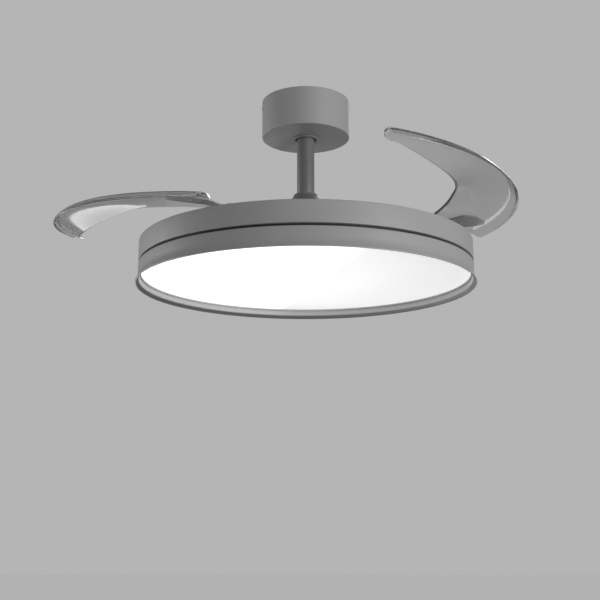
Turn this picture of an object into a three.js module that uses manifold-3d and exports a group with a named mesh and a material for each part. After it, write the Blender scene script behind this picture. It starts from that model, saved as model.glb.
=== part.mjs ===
// Retractable blade ceiling fan with a round lamp drum, in millimetres.
// +Z is up. The origin is the middle of the ceiling plate's upper face, on the fan's axis.
// The camera of the reference view stands on the -Y side.

import * as THREE from 'three';
import { mergeVertices } from 'three/addons/utils/BufferGeometryUtils.js';
import Module from 'manifold-3d';

const wasm = await Module();
wasm.setup();

// ---------------------------------------------------------------- driving dimensions

// Clearances and mesh fineness.
const SEAT = 0.1; // between two flat faces that rest on each other
const FIT = 0.3; // around a piece that sits in a hole or turns in one
const PAST = 1; // how far a cutting tool passes the face that it cuts
const ROUND = 40; // steps round the drum
const MEDIUM = 24; // steps round the motor and the coupling
const SMALL = 12; // steps round a pin or a bush
const TINY = 8; // steps round a screw or its hole
const DEG = Math.PI / 180;

// Canopy and ceiling bracket.
const CANOPY_RADIUS = 67.3;
const CANOPY_HEIGHT = 58.5;
const CANOPY_WALL = 1.2;
const CANOPY_CORNER = 2.2;
const CORNER_SHARE = 0.3; // a rounded corner's middle point, as a share of its radius
const CANOPY_HOLE_RADIUS = 17.8;
const GROMMET_RADIUS = 20;
const GROMMET_BORE = 15.7;
const GROMMET_LIP = 2.5;
const GROMMET_CHAMFER = 0.8;
const GROMMET_CLIP = 1.2; // inner lip above the canopy's floor
const PLATE_RADIUS = 58;
const PLATE_THICKNESS = 2.5;
const WIRE_HOLE_RADIUS = 6.5;
const WIRE_HOLE_OFFSET = 18; // in front of the axis
const CEILING_SLOT_OFFSET = 46;
const CEILING_SLOT_RADIUS = 2.6;
const CEILING_SLOT_LENGTH = 12;
const EAR_WIDTH = 16;
const EAR_DEPTH = 14;
const EAR_THICKNESS = 2;
const EAR_GAP = 2.2; // from the ear's face to the canopy's wall
const BRACKET_ARM_THICKNESS = 3;
const BRACKET_ARM_WIDTH = 28;
const SEAT_PLATE_THICKNESS = 3;
const SEAT_PLATE_HALF_DEPTH = 27;
const ROD_ENTRY_CLEARANCE = 1.2; // at either side of the rod, in the seat's open front
const TAB_THICKNESS = 3;
const TAB_HEIGHT = 7;
const TAB_CLEARANCE = 2; // from the tab to the floor of the ball's slot
const CANOPY_SCREW_RADIUS = 1.9;
const CANOPY_SCREW_LENGTH = 8;
const CANOPY_SCREW_HEAD_RADIUS = 3.4;
const CANOPY_SCREW_HEAD = 0.5;
const RECEIVER_SIZE = [54, 22, 24];
const TERMINAL_SIZE = [38, 20, 15];
const CANOPY_BOX_OFFSET = 27; // from the axis to the near side of either box

// Hanger ball, downrod and coupling.
const BALL_RADIUS = 24;
const BALL_CENTRE_DEPTH = 27; // below the ceiling
const BALL_HALF_HEIGHT = 17;
const BALL_STEPS = 4; // from its flat bottom to its flat top
const BALL_SEAT_DROP = 11; // from the ball's centre to the top of its seat
const BALL_SLOT_WIDTH = 4.6;
const BALL_SLOT_FLOOR = 18;
const ROD_RADIUS = 13.35;
const ROD_WALL = 2;
const ROD_ABOVE_BALL = 3;
const CROSS_PIN_RADIUS = 3.1;
const CROSS_PIN_RISE = 7; // above the ball's centre
const CROSS_PIN_LENGTH = 41;
const YOKE_RADIUS = 17.5;
const YOKE_FLOOR = 8;
const YOKE_CUP = 19;
const YOKE_ABOVE_MOTOR = 3;
const COUPLING_PIN_RADIUS = 2.6;
const COUPLING_PIN_RISE = 10; // above the cup's floor
const COUPLING_PIN_OVERHANG = 3;
const SET_SCREW_RADIUS = 2.5;
const COVER_BELL_RADIUS = 36;
const COVER_BELL_WALL = 1.6;
const COVER_NECK_HEIGHT = 7.5; // above the yoke
const COVER_NECK_WALL = 1.1;
// The bell's outline from its skirt up: share of the spread from neck to skirt, share of the height.
const BELL_PROFILE = [[1, 0], [0.96, 0.18], [0.86, 0.42], [0.68, 0.6], [0.46, 0.72], [0.25, 0.84],
  [0.2, 0.96], [0.15, 1]];
const BELL_ROOF = 0.66; // share of the height at which the hollow closes on the yoke

// Lamp drum.
const DRUM_TOP_DEPTH = 231.8; // from the ceiling to the drum's flat top
const DRUM_RADIUS = 250;
const DRUM_WALL = 1;
const DRUM_CORNER = 1.8;
const DRUM_MOUTH_GAP = 7; // round the motor's flange, where it sinks into the drum
const BAND_HEIGHT = 31.2;
const GAP_HEIGHT = 4; // dark shadow line
const GAP_DEPTH = 4.5;
const RING_HEIGHT = 28;
const RING_WALL = 2.4;
const RIM_FLANGE = 16; // inward flange at either side of the shadow line
const LIP_FLARE = 3.8;
const LIP_HEIGHT = 8;
// The lip's outside from the bottom up: share of the flare, share of the lip's height.
const LIP_OUTSIDE = [[1, 0.2], [0.42, 0.6], [0.12, 1.3], [0, 2]];
const LIP_ROUNDING = 0.5; // share of the wall, from the lip's bottom edge to its outer edge
const LEDGE_WIDTH = 2.4;
const LEDGE_THICKNESS = 2;
const DIFFUSER_RECESS = 16;
const DIFFUSER_THICKNESS = 2.5;
const BASE_PLATE_THICKNESS = 1.2;
const LED_BOARD_GAP = 12; // from its edge to the rim flange
const LED_BOARD_BORE = 42;
const LED_BOARD_THICKNESS = 1.6;
const LED_SIZE = 6;
const LED_THICKNESS = 1;
const LED_RINGS = [[0.4, 6], [0.8, 10]]; // share of the board's radius, and how many
const DRIVER_SIZE = [84, 54, 20];
const DRIVER_TO_RIM = 27; // from the driver's far side to the rim flange
const RIM_SCREWS = 3;
const SCREW_RADIUS = 1.9;
const SCREW_HEAD_RADIUS = 3.6;
const SCREW_HEAD_HEIGHT = 2;

// Motor.
const SHAFT_RADIUS = 8.5;
const SHAFT_BORE = 5;
const SHAFT_FLANGE_RADIUS = 36;
const SHAFT_FLANGE_THICKNESS = 5;
const MOTOR_RADIUS = 82;
const MOTOR_WALL = 3;
const MOTOR_RISE = 39.5; // above the carrier plate
const MOTOR_SINK = 16; // below the carrier plate
const MOTOR_SHOULDER = 13; // height of the rounded shoulder
const MOTOR_SHOULDER_WIDTH = 21;
const SHOULDER_BEND = [0.22, 0.4]; // shares of the shoulder's width and height at its bend
const MOTOR_SLANT = 8; // bevel round the sunk lower cover
const MOTOR_FLANGE_WIDTH = 15;
const MOTOR_FLANGE_THICKNESS = 2.5;
const MOTOR_BORE_GAP = 4; // round the shaft, in either cover
const MOTOR_BOSS_WALL = 3.4;
const BEARING_RADIUS = 17.5;
const BEARING_HEIGHT = 7;
const MAGNET_THICKNESS = 8;
const MAGNET_HEIGHT = 24;
const AIR_GAP = 0.8;
const CORE_HEIGHT = 20;
const CORE_HUB_RADIUS = 30;
const POLES = 6;
const POLE_WIDTH = 12;
const COIL_THICKNESS = 3;
const CARRIER_SCREWS = 3;

// Blade carrier and synchronising gears.
const CARRIER_CLEARANCE = 2.8; // over the drum's top
const CARRIER_THICKNESS = 2.5;
const CARRIER_EDGE = 34; // from the pivots' circle to the carrier's edge
const BLADES = 3;
const GEAR_MODULE = 3;
const ARM_TEETH = 20; // of a full circle: an arm carries only the teeth that it uses
const RING_TEETH = 102;
const PRESSURE_ANGLE = 20 * DEG;
const TOOTH_THINNING = 0.35;
const TOOTH_ADDENDUM = 0.9;
const TOOTH_DEDENDUM = 1.25;
const BLANK_STEP = 12 * DEG; // between corners of the toothless arcs
const GEAR_THICKNESS = 4;
const GEAR_LIFT = 1; // over the carrier plate
const COVER_THICKNESS = 1.2;
const COVER_OVER_GEAR = 0.5;
const COVER_OVER_TEETH = 1.3; // how far the cover reaches past the ring's teeth
const ARM_BLANK_RADIUS = 22;
const NECK_RADIUS = 12.6;
const NECK_HEIGHT = 5.4; // from the gear to the arm's plate
const ARM_PLATE_RADIUS = 15;
const ARM_PLATE_THICKNESS = 2.4;
const ARM_RAMP_START = 13; // from the pivot, along the blade
const ARM_RAMP_END = 36;
// The arm's plate from the pivot out: distance along the blade, shift towards the leading edge,
// and half width.
const ARM_OUTLINE = [[0, 0, 14.8], [13, 0, 14], [21, 1, 13.5], [28, 2, 14], [36, 3, 15.5], [50, 6, 18],
  [66, 9, 20], [80, 11, 20], [88, 12.5, 16], [92, 13.5, 8]];
const ARM_UNDER_BLADE = 0.8; // gap between the blade's underside and the arm's plate
const POST_RADIUS = 4;
const POST_BASE_RADIUS = 6.5;
const POST_BASE_HEIGHT = 0.6;
const BUSH_WALL = 2;
const PIVOT_NUT_RADIUS = 7.5;
const PIVOT_NUT_HEIGHT = 3.6;
const SHAFT_NUT_RADIUS = 15;
const NUT_HEIGHT = 4.5;
const THREAD_PAST_NUT = 1;
const NUT_SIDES = 6;
const LUG_PAST_STOP = 3; // from the middle of a stop to the lug's end
const LUG_HALF_WIDTH = 5;
const STOP_RADIUS = 5;
const STOP_HEIGHT = 7.4;
const STOP_TO_TEETH = 1.3; // from a stop to the arm's teeth
const SPRING_WALL = 3.2;

// Blades. Each is a crescent between two circles: closed, its outer circle lies round the axis.
const BLADE_INSET = 2; // from the drum's edge to a closed blade's
const BLADE_CIRCLE_DIFFERENCE = 5.7; // between the two circles' radii
const BLADE_CIRCLE_OFFSET = 93.5; // between the two circles' centres
const BLADE_WIDEST = -16.6 * DEG; // direction of the widest place, from the pivot's radius
const BLADE_SPAN = 119 * DEG; // from the pivot to the tip, round the axis
const BLADE_ROOT_START = 9 * DEG; // from the pivot to the blade's root, round the axis
const BLADE_ROOT_ROUND = 4 * DEG;
const BLADE_TIP_ROUND = 3 * DEG;
const BLADE_TIP_WIDTH = 16;
const BLADE_TIP_EXTRA = 5; // wider than the crescent between these shares of the span:
const TIP_EXTRA_START = 0.6;
const TIP_EXTRA_END = 0.95;
const BLADE_THICKNESS = 2.6;
const BLADE_BEAD = 1.2; // how much thicker the leading edge is
const BLADE_EDGE_RISE = 9.4; // leading edge at the root, over the drum's top
const BLADE_TIP_RISE = 33; // the tip stands this much higher than the root
const BLADE_TIP_CURVE = 1.3;
const ROOT_PITCH = 0.16; // slope of a section from leading to trailing edge
const TIP_PITCH = -0.2;
const TWIST_START = 0.4; // share of the span
const TWIST_END = 0.95;
const BLADE_CAMBER = 0.045; // share of a section's width
const LEADING_LIP = 0.11; // share of a section's width
const LEADING_LIP_RISE = 6.2; // the leading edge turns down by this much
const BLADE_STATIONS = 12;
const END_STATIONS = 3;
const END_TURN = 84 * DEG; // how far round its half ellipse the last section of an end lies
const SECTION_STEPS = [0, 0.05, LEADING_LIP, 0.4, 0.7, 1]; // shares of a section's width
const EDGE_SHARE = 0.35; // share of the full thickness above and below at either edge
// The strip on the blade's top that clamps it to the arm: outline as the arm's, then its studs.
const CLAMP_OUTLINE = [[36, 3, 3], [38, 3.4, 6.5], [50, 6, 8], [66, 9, 8], [78, 10.7, 6.5], [80, 11, 3]];
const CLAMP_THICKNESS = 1.4;
const CLAMP_GAP = 0.4; // above the blade
const CLAMP_STUDS = [[43, 4.5], [58, 7.5], [73, 10]]; // along the blade and towards its leading edge
const STUD_RADIUS = 1.8;
const PLATE_CELLS = [1, 0.35, -0.35, -1]; // shares of the half width, across either plate

// Angles of the reference pose.
const ROTOR_ANGLE = -4.1 * DEG; // direction of the first pivot
const BLADE_OPENING = 44.8 * DEG; // from closed to the reference pose
const BLADE_TRAVEL = 109 * DEG; // from closed to fully open

// ---------------------------------------------------------------- places worked out

const DRUM_TOP = -DRUM_TOP_DEPTH;
const BAND_BOTTOM = DRUM_TOP - BAND_HEIGHT;
const RING_TOP = BAND_BOTTOM - GAP_HEIGHT;
const LIP_BOTTOM = RING_TOP - RING_HEIGHT;
const BASE_BOTTOM = BAND_BOTTOM - BASE_PLATE_THICKNESS;
const RIM_INNER_RADIUS = DRUM_RADIUS - RIM_FLANGE;
const RIM_SCREW_CIRCLE = DRUM_RADIUS - GAP_DEPTH - SCREW_HEAD_RADIUS - 2 * FIT;
const LED_BOARD_RADIUS = RIM_INNER_RADIUS - LED_BOARD_GAP;
const BLADE_OUTER_RADIUS = DRUM_RADIUS - BLADE_INSET;
const BLADE_INNER_RADIUS = BLADE_OUTER_RADIUS - BLADE_CIRCLE_DIFFERENCE;
const CARRIER_BOTTOM = DRUM_TOP + CARRIER_CLEARANCE;
const CARRIER_TOP = CARRIER_BOTTOM + CARRIER_THICKNESS;
const MOTOR_TOP = CARRIER_TOP + MOTOR_RISE;
const MOTOR_BOTTOM = CARRIER_BOTTOM - MOTOR_SINK;
const YOKE_BOTTOM = MOTOR_TOP + YOKE_ABOVE_MOTOR;
const CUP_FLOOR = YOKE_BOTTOM + YOKE_FLOOR;
const YOKE_TOP = CUP_FLOOR + YOKE_CUP;
const ROD_BOTTOM = CUP_FLOOR + FIT;
const ROD_TOP = -BALL_CENTRE_DEPTH + BALL_HALF_HEIGHT + ROD_ABOVE_BALL;
const SHAFT_BOTTOM = BAND_BOTTOM + SEAT;
const SHAFT_TOP = CUP_FLOOR - 2 * FIT;
const GEAR_BOTTOM = CARRIER_TOP + GEAR_LIFT;
const GEAR_TOP = GEAR_BOTTOM + GEAR_THICKNESS;
const PIVOT_RADIUS = (GEAR_MODULE * (ARM_TEETH + RING_TEETH)) / 2;
const MOTOR_FLANGE_RADIUS = MOTOR_RADIUS + MOTOR_FLANGE_WIDTH;
const DRUM_MOUTH_RADIUS = MOTOR_FLANGE_RADIUS + DRUM_MOUTH_GAP;
const CARRIER_RADIUS = PIVOT_RADIUS + CARRIER_EDGE;
const ARM_TIP_RADIUS = (GEAR_MODULE * ARM_TEETH) / 2 + TOOTH_ADDENDUM * GEAR_MODULE;
const STOP_CIRCLE = ARM_TIP_RADIUS + STOP_TO_TEETH + STOP_RADIUS;
const LUG_REACH = STOP_CIRCLE + LUG_PAST_STOP;
const COVER_RADIUS = (GEAR_MODULE * RING_TEETH) / 2 + TOOTH_ADDENDUM * GEAR_MODULE + COVER_OVER_TEETH;
const ARM_PLATE_BOTTOM = GEAR_TOP + NECK_HEIGHT;
const ARM_PLATE_TOP = ARM_PLATE_BOTTOM + ARM_PLATE_THICKNESS;
const PIVOT_NUT_BOTTOM = ARM_PLATE_TOP + FIT;
const POST_TOP = PIVOT_NUT_BOTTOM + PIVOT_NUT_HEIGHT + THREAD_PAST_NUT;
const BUSH_RADIUS = POST_RADIUS + FIT + BUSH_WALL;
const BEARING_SEAT = BEARING_RADIUS + SEAT;
const SHAFT_BORE_FIT = SHAFT_RADIUS + FIT;
const MOTOR_BORE = SHAFT_RADIUS + MOTOR_BORE_GAP;
const MAGNET_MIDDLE = (MOTOR_TOP + MOTOR_BOTTOM) / 2;
const CORE_RADIUS = MOTOR_RADIUS - MOTOR_WALL - SEAT - MAGNET_THICKNESS - AIR_GAP;

// ---------------------------------------------------------------- geometry helpers

function solidOf(geometry) {
  const bare = geometry.clone();
  bare.deleteAttribute('normal');
  bare.deleteAttribute('uv');
  const merged = mergeVertices(bare, 1e-4);
  const corners = Array.from(merged.index.array);
  const triVerts = [];
  for (let i = 0; i < corners.length; i += 3) {
    const [a, b, c] = corners.slice(i, i + 3);
    if (a !== b && b !== c && c !== a) triVerts.push(a, b, c);
  }
  return new wasm.Manifold(new wasm.Mesh({
    numProp: 3,
    vertProperties: new Float32Array(merged.attributes.position.array),
    triVerts: new Uint32Array(triVerts),
  }));
}

function geometryOf(solid) {
  const { vertProperties, triVerts } = solid.getMesh();
  const geometry = new THREE.BufferGeometry();
  geometry.setAttribute('position', new THREE.BufferAttribute(new Float32Array(vertProperties), 3));
  geometry.setIndex(new THREE.BufferAttribute(new Uint32Array(triVerts), 1));
  geometry.computeVertexNormals();
  return geometry;
}

function join(geometries) {
  return geometryOf(geometries.map(solidOf).reduce((whole, next) => whole.add(next)));
}

function cut(geometry, tools) {
  return geometryOf(tools.map(solidOf).reduce((rest, tool) => rest.subtract(tool), solidOf(geometry)));
}

// A turned solid: the profile holds [radius, z] pairs, either from axis to axis or as a loop.
function turned(profile, steps = MEDIUM) {
  const points = profile.map(([radius, z]) => new THREE.Vector2(radius, z));
  if (profile[0][0] > 0) points.push(points[0].clone());
  if (THREE.ShapeUtils.area(points) < 0) points.reverse();
  return new THREE.LatheGeometry(points, steps).rotateX(Math.PI / 2);
}

function disc(radius, bottom, top, steps = SMALL) {
  return turned([[0, bottom], [radius, bottom], [radius, top], [0, top]], steps);
}

function ring(inner, outer, bottom, top, steps = MEDIUM) {
  return turned([[inner, bottom], [outer, bottom], [outer, top], [inner, top]], steps);
}

function block(x, y, z) {
  const size = [x, y, z].map(([low, high]) => high - low);
  const middle = [x, y, z].map(([low, high]) => (low + high) / 2);
  return new THREE.BoxGeometry(...size).translate(...middle);
}

function prism(outline, bottom, height) {
  const shape = new THREE.Shape(outline.map(([x, y]) => new THREE.Vector2(x, y)));
  const flat = { depth: height, bevelEnabled: false };
  return new THREE.ExtrudeGeometry(shape, flat).translate(0, 0, bottom);
}

// A round bar along X, through the axis, at a height.
function crossBar(radius, low, high, z) {
  return disc(radius, low, high).rotateY(Math.PI / 2).translate(0, 0, z);
}

function aroundAxis(count, make) {
  return Array.from({ length: count }, (_, i) => make((i * 2 * Math.PI) / count, i));
}

function polar(radius, angle) {
  return [radius * Math.cos(angle), radius * Math.sin(angle)];
}

function screw(shankRadius, headRadius, headHeight, length) {
  const shank = [[0, -length], [shankRadius, -length], [shankRadius, 0]];
  return turned([...shank, [headRadius, 0], [headRadius, headHeight], [0, headHeight]], TINY);
}

// ---------------------------------------------------------------- finishes

const FINISHES = {
  greyPaint: { color: 0x9a9b9c, roughness: 0.55, metalness: 0.1 },
  darkPaint: { color: 0x2b2c2e, roughness: 0.7, metalness: 0.1 },
  steel: { color: 0xa9adb0, roughness: 0.35, metalness: 0.9 },
  aluminium: { color: 0xc3c6c8, roughness: 0.4, metalness: 0.85 },
  blackPlastic: { color: 0x26282a, roughness: 0.6, metalness: 0 },
  whitePlastic: { color: 0xe6e6e2, roughness: 0.5, metalness: 0 },
  rubber: { color: 0x1d1d1e, roughness: 0.9, metalness: 0 },
  copper: { color: 0xb0683a, roughness: 0.4, metalness: 0.8 },
  bronze: { color: 0xa9793d, roughness: 0.4, metalness: 0.8 },
  magnet: { color: 0x4a4b4e, roughness: 0.5, metalness: 0.5 },
  board: { color: 0xf0f0ea, roughness: 0.5, metalness: 0.1 },
  lamp: { color: 0xffffff, roughness: 0.4, metalness: 0, emissive: 0xffffff, emissiveIntensity: 1 },
  clearPlastic: { color: 0xc9cccd, roughness: 0.08, metalness: 0, transparent: true, opacity: 0.35 },
};

function piece(name, finish, geometry) {
  const mesh = new THREE.Mesh(geometry, new THREE.MeshStandardMaterial(FINISHES[finish]));
  mesh.name = name;
  return mesh;
}

// ---------------------------------------------------------------- fixed to the ceiling

const SEAT_TOP = -BALL_CENTRE_DEPTH - BALL_SEAT_DROP;
const SEAT_BOTTOM = SEAT_TOP - SEAT_PLATE_THICKNESS;
const ARM_OUTER = BALL_RADIUS + 2 * BRACKET_ARM_THICKNESS + 2 * FIT;
const EAR_OUTER = CANOPY_RADIUS - CANOPY_WALL - EAR_GAP;
const CANOPY_SCREW_DEPTH = PLATE_THICKNESS + EAR_DEPTH / 2;

function ballRadiusAt(drop) {
  return Math.sqrt(BALL_RADIUS ** 2 - drop ** 2);
}

function ceilingBracket() {
  const plate = disc(PLATE_RADIUS, -PLATE_THICKNESS, 0, MEDIUM);
  const sides = [-1, 1];
  const armInner = ARM_OUTER - BRACKET_ARM_THICKNESS;
  const ordered = (side, a, b) => (side > 0 ? [a, b] : [-b, -a]);
  const halfArm = BRACKET_ARM_WIDTH / 2;
  const arms = sides.map((side) => block(
    ordered(side, armInner, ARM_OUTER), [-halfArm, halfArm], [SEAT_BOTTOM, -PLATE_THICKNESS / 2]));
  const ears = sides.map((side) => block(
    ordered(side, EAR_OUTER - EAR_THICKNESS, EAR_OUTER),
    [-EAR_WIDTH / 2, EAR_WIDTH / 2], [-PLATE_THICKNESS - EAR_DEPTH, 0]));
  const necks = sides.map((side) => block(
    ordered(side, PLATE_RADIUS - EAR_WIDTH / 2, EAR_OUTER),
    [-EAR_WIDTH / 2, EAR_WIDTH / 2], [-PLATE_THICKNESS, 0]));
  const seat = block([-ARM_OUTER, ARM_OUTER],
    [-SEAT_PLATE_HALF_DEPTH, SEAT_PLATE_HALF_DEPTH], [SEAT_BOTTOM, SEAT_TOP]);
  const cone = turned([
    [0, SEAT_BOTTOM],
    [ballRadiusAt(BALL_SEAT_DROP + SEAT_PLATE_THICKNESS) + FIT, SEAT_BOTTOM],
    [ballRadiusAt(BALL_SEAT_DROP) + FIT, SEAT_TOP],
    [0, SEAT_TOP],
  ], MEDIUM);
  const mouth = ROD_RADIUS + ROD_ENTRY_CLEARANCE;
  const entry = block([-mouth, mouth], [-SEAT_PLATE_HALF_DEPTH - PAST, 0],
    [SEAT_BOTTOM - PAST, SEAT_TOP + PAST]);
  const seatRing = cut(seat, [cone, entry]);
  const tab = block([-TAB_THICKNESS / 2, TAB_THICKNESS / 2],
    [BALL_SLOT_FLOOR + TAB_CLEARANCE, SEAT_PLATE_HALF_DEPTH], [SEAT_BOTTOM, SEAT_TOP + TAB_HEIGHT]);
  const slots = sides.map((side) => {
    const half = CEILING_SLOT_LENGTH / 2 - CEILING_SLOT_RADIUS;
    const ends = [-half, half].map((y) => disc(CEILING_SLOT_RADIUS, -PLATE_THICKNESS - PAST, PAST, TINY)
      .translate(side * CEILING_SLOT_OFFSET, y, 0));
    const middle = block([-CEILING_SLOT_RADIUS, CEILING_SLOT_RADIUS], [-half, half],
      [-PLATE_THICKNESS - PAST, PAST]).translate(side * CEILING_SLOT_OFFSET, 0, 0);
    return join([...ends, middle]);
  });
  const screwHoles = crossBar(CANOPY_SCREW_RADIUS + FIT, -CANOPY_RADIUS, CANOPY_RADIUS, -CANOPY_SCREW_DEPTH);
  const wireHole = disc(WIRE_HOLE_RADIUS, -PLATE_THICKNESS - PAST, PAST).translate(0, -WIRE_HOLE_OFFSET, 0);
  const drilled = cut(join([...ears, ...necks, plate]), [wireHole, ...slots, screwHoles]);
  return piece('ceiling_bracket', 'steel', join([drilled, ...arms, seatRing, tab]));
}

function canopy() {
  const bottom = -CANOPY_HEIGHT;
  const corner = CANOPY_CORNER;
  const bell = turned([
    [CANOPY_HOLE_RADIUS, bottom],
    [CANOPY_RADIUS - corner, bottom],
    [CANOPY_RADIUS - CORNER_SHARE * corner, bottom + CORNER_SHARE * corner],
    [CANOPY_RADIUS, bottom + corner],
    [CANOPY_RADIUS, 0],
    [CANOPY_RADIUS - CANOPY_WALL, 0],
    [CANOPY_RADIUS - CANOPY_WALL, bottom + corner],
    [CANOPY_RADIUS - corner, bottom + CANOPY_WALL],
    [CANOPY_HOLE_RADIUS, bottom + CANOPY_WALL],
  ], ROUND);
  const reach = CANOPY_RADIUS + PAST;
  const holes = crossBar(CANOPY_SCREW_RADIUS + FIT, -reach, reach, -CANOPY_SCREW_DEPTH);
  return piece('canopy', 'greyPaint', cut(bell, [holes]));
}

function canopyGrommet() {
  const under = -CANOPY_HEIGHT - SEAT;
  const over = -CANOPY_HEIGHT + CANOPY_WALL + SEAT;
  const neck = CANOPY_HOLE_RADIUS - FIT;
  return piece('canopy_grommet', 'darkPaint', turned([
    [GROMMET_BORE, under - GROMMET_LIP],
    [GROMMET_RADIUS - GROMMET_CHAMFER, under - GROMMET_LIP],
    [GROMMET_RADIUS, under - GROMMET_LIP + GROMMET_CHAMFER],
    [GROMMET_RADIUS, under],
    [neck, under],
    [neck, over],
    [GROMMET_RADIUS, over],
    [GROMMET_RADIUS, over + GROMMET_CLIP],
    [GROMMET_BORE, over + GROMMET_CLIP],
  ], MEDIUM));
}

function canopyScrew(name, side) {
  return piece(name, 'steel', screw(
    CANOPY_SCREW_RADIUS, CANOPY_SCREW_HEAD_RADIUS, CANOPY_SCREW_HEAD, CANOPY_SCREW_LENGTH)
    .rotateY((side * Math.PI) / 2)
    .translate(side * (CANOPY_RADIUS + SEAT), 0, -CANOPY_SCREW_DEPTH));
}

// Two plain boxes hang from the ceiling plate, one behind and one in front of the ball.
function hungBox(name, finish, [width, depth, height], side) {
  const near = side * CANOPY_BOX_OFFSET;
  const far = side * (CANOPY_BOX_OFFSET + depth);
  const top = -PLATE_THICKNESS - SEAT;
  return piece(name, finish, block(
    [-width / 2, width / 2], [Math.min(near, far), Math.max(near, far)], [top - height, top]));
}

// ---------------------------------------------------------------- hanging set

function hangerBall() {
  const arc = [];
  const reach = Math.asin(BALL_HALF_HEIGHT / BALL_RADIUS);
  for (let i = 0; i <= BALL_STEPS; i += 1) {
    const angle = -reach + (2 * reach * i) / BALL_STEPS;
    arc.push([BALL_RADIUS * Math.cos(angle), -BALL_CENTRE_DEPTH + BALL_RADIUS * Math.sin(angle)]);
  }
  const bore = ROD_RADIUS + SEAT;
  const bottom = -BALL_CENTRE_DEPTH - BALL_HALF_HEIGHT;
  const top = -BALL_CENTRE_DEPTH + BALL_HALF_HEIGHT;
  const ball = turned([[bore, bottom], ...arc, [bore, top]], MEDIUM);
  const half = BALL_SLOT_WIDTH / 2;
  const slot = block([-half, half], [BALL_SLOT_FLOOR, BALL_RADIUS + PAST],
    [bottom - PAST, -BALL_CENTRE_DEPTH + TAB_HEIGHT]);
  const pinHole = crossBar(CROSS_PIN_RADIUS + FIT, -BALL_RADIUS, BALL_RADIUS,
    -BALL_CENTRE_DEPTH + CROSS_PIN_RISE);
  return piece('hanger_ball', 'blackPlastic', cut(ball, [slot, pinHole]));
}

function crossPin() {
  const half = CROSS_PIN_LENGTH / 2;
  return piece('cross_pin', 'steel',
    crossBar(CROSS_PIN_RADIUS, -half, half, -BALL_CENTRE_DEPTH + CROSS_PIN_RISE));
}

const COUPLING_PIN_Z = CUP_FLOOR + COUPLING_PIN_RISE;
const COUPLING_PIN_HALF = YOKE_RADIUS + COUPLING_PIN_OVERHANG;

function downrod() {
  const tube = ring(ROD_RADIUS - ROD_WALL, ROD_RADIUS, ROD_BOTTOM, ROD_TOP, MEDIUM);
  const reach = ROD_RADIUS + PAST;
  return piece('downrod', 'greyPaint', cut(tube, [
    crossBar(CROSS_PIN_RADIUS + FIT, -reach, reach, -BALL_CENTRE_DEPTH + CROSS_PIN_RISE),
    crossBar(COUPLING_PIN_RADIUS + FIT, -reach, reach, COUPLING_PIN_Z),
  ]));
}

function couplingYoke() {
  const cup = turned([
    [SHAFT_BORE_FIT, YOKE_BOTTOM],
    [YOKE_RADIUS, YOKE_BOTTOM],
    [YOKE_RADIUS, YOKE_TOP],
    [ROD_RADIUS + SEAT, YOKE_TOP],
    [ROD_RADIUS + SEAT, CUP_FLOOR],
    [SHAFT_BORE_FIT, CUP_FLOOR],
  ], MEDIUM);
  const reach = YOKE_RADIUS + PAST;
  return piece('coupling_yoke', 'steel', cut(cup, [
    crossBar(COUPLING_PIN_RADIUS + FIT, -reach, reach, COUPLING_PIN_Z),
    crossBar(SET_SCREW_RADIUS + SEAT, 0, reach, YOKE_BOTTOM + YOKE_FLOOR / 2).rotateZ(Math.PI / 2),
  ]));
}

function couplingPin() {
  return piece('coupling_pin', 'steel',
    crossBar(COUPLING_PIN_RADIUS, -COUPLING_PIN_HALF, COUPLING_PIN_HALF, COUPLING_PIN_Z));
}

function setScrew() {
  return piece('set_screw', 'steel', crossBar(
    SET_SCREW_RADIUS, SHAFT_RADIUS + SEAT, YOKE_RADIUS - SEAT, YOKE_BOTTOM + YOKE_FLOOR / 2)
    .rotateZ(Math.PI / 2));
}

// A bell over the coupling: a slim neck on the rod, a trumpet flare, and a skirt over the motor.
function couplingCover() {
  const bore = ROD_RADIUS + FIT;
  const neckTop = YOKE_TOP + COVER_NECK_HEIGHT;
  const neckRadius = bore + COVER_NECK_WALL;
  const skirt = COVER_BELL_RADIUS;
  const bottom = YOKE_BOTTOM - FIT;
  const height = neckTop - bottom;
  const outer = BELL_PROFILE.map(([spread, rise]) => [
    neckRadius + spread * (skirt - neckRadius), bottom + rise * height]);
  const hollow = outer.slice(0, 4).map(([radius, z]) => [radius - COVER_BELL_WALL, z - COVER_BELL_WALL]);
  hollow[0][1] = bottom;
  const inner = [
    [bore, neckTop],
    [bore, YOKE_TOP + FIT],
    [YOKE_RADIUS + FIT, YOKE_TOP + FIT],
    [YOKE_RADIUS + FIT, bottom + BELL_ROOF * height],
    ...hollow.reverse(),
  ];
  return piece('coupling_cover', 'greyPaint', turned([...outer, ...inner], MEDIUM));
}

function motorShaft() {
  const flangeTop = SHAFT_BOTTOM + SHAFT_FLANGE_THICKNESS;
  const end = BASE_BOTTOM - NUT_HEIGHT - THREAD_PAST_NUT;
  return piece('motor_shaft', 'steel', turned([
    [SHAFT_BORE, end],
    [SHAFT_RADIUS, end],
    [SHAFT_RADIUS, SHAFT_BOTTOM],
    [SHAFT_FLANGE_RADIUS, SHAFT_BOTTOM],
    [SHAFT_FLANGE_RADIUS, flangeTop],
    [SHAFT_RADIUS, flangeTop],
    [SHAFT_RADIUS, SHAFT_TOP],
    [SHAFT_BORE, SHAFT_TOP],
  ], MEDIUM));
}

function hexNut(bore, radius, bottom, height) {
  const hole = disc(bore, bottom - PAST, bottom + height + PAST);
  return cut(disc(radius, bottom, bottom + height, NUT_SIDES), [hole]);
}

// Holds the shaft's flange down on the base plate, from below.
function shaftNut() {
  const bottom = BASE_BOTTOM - SEAT - NUT_HEIGHT;
  return piece('shaft_nut', 'steel', hexNut(SHAFT_BORE_FIT, SHAFT_NUT_RADIUS, bottom, NUT_HEIGHT));
}

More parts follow.
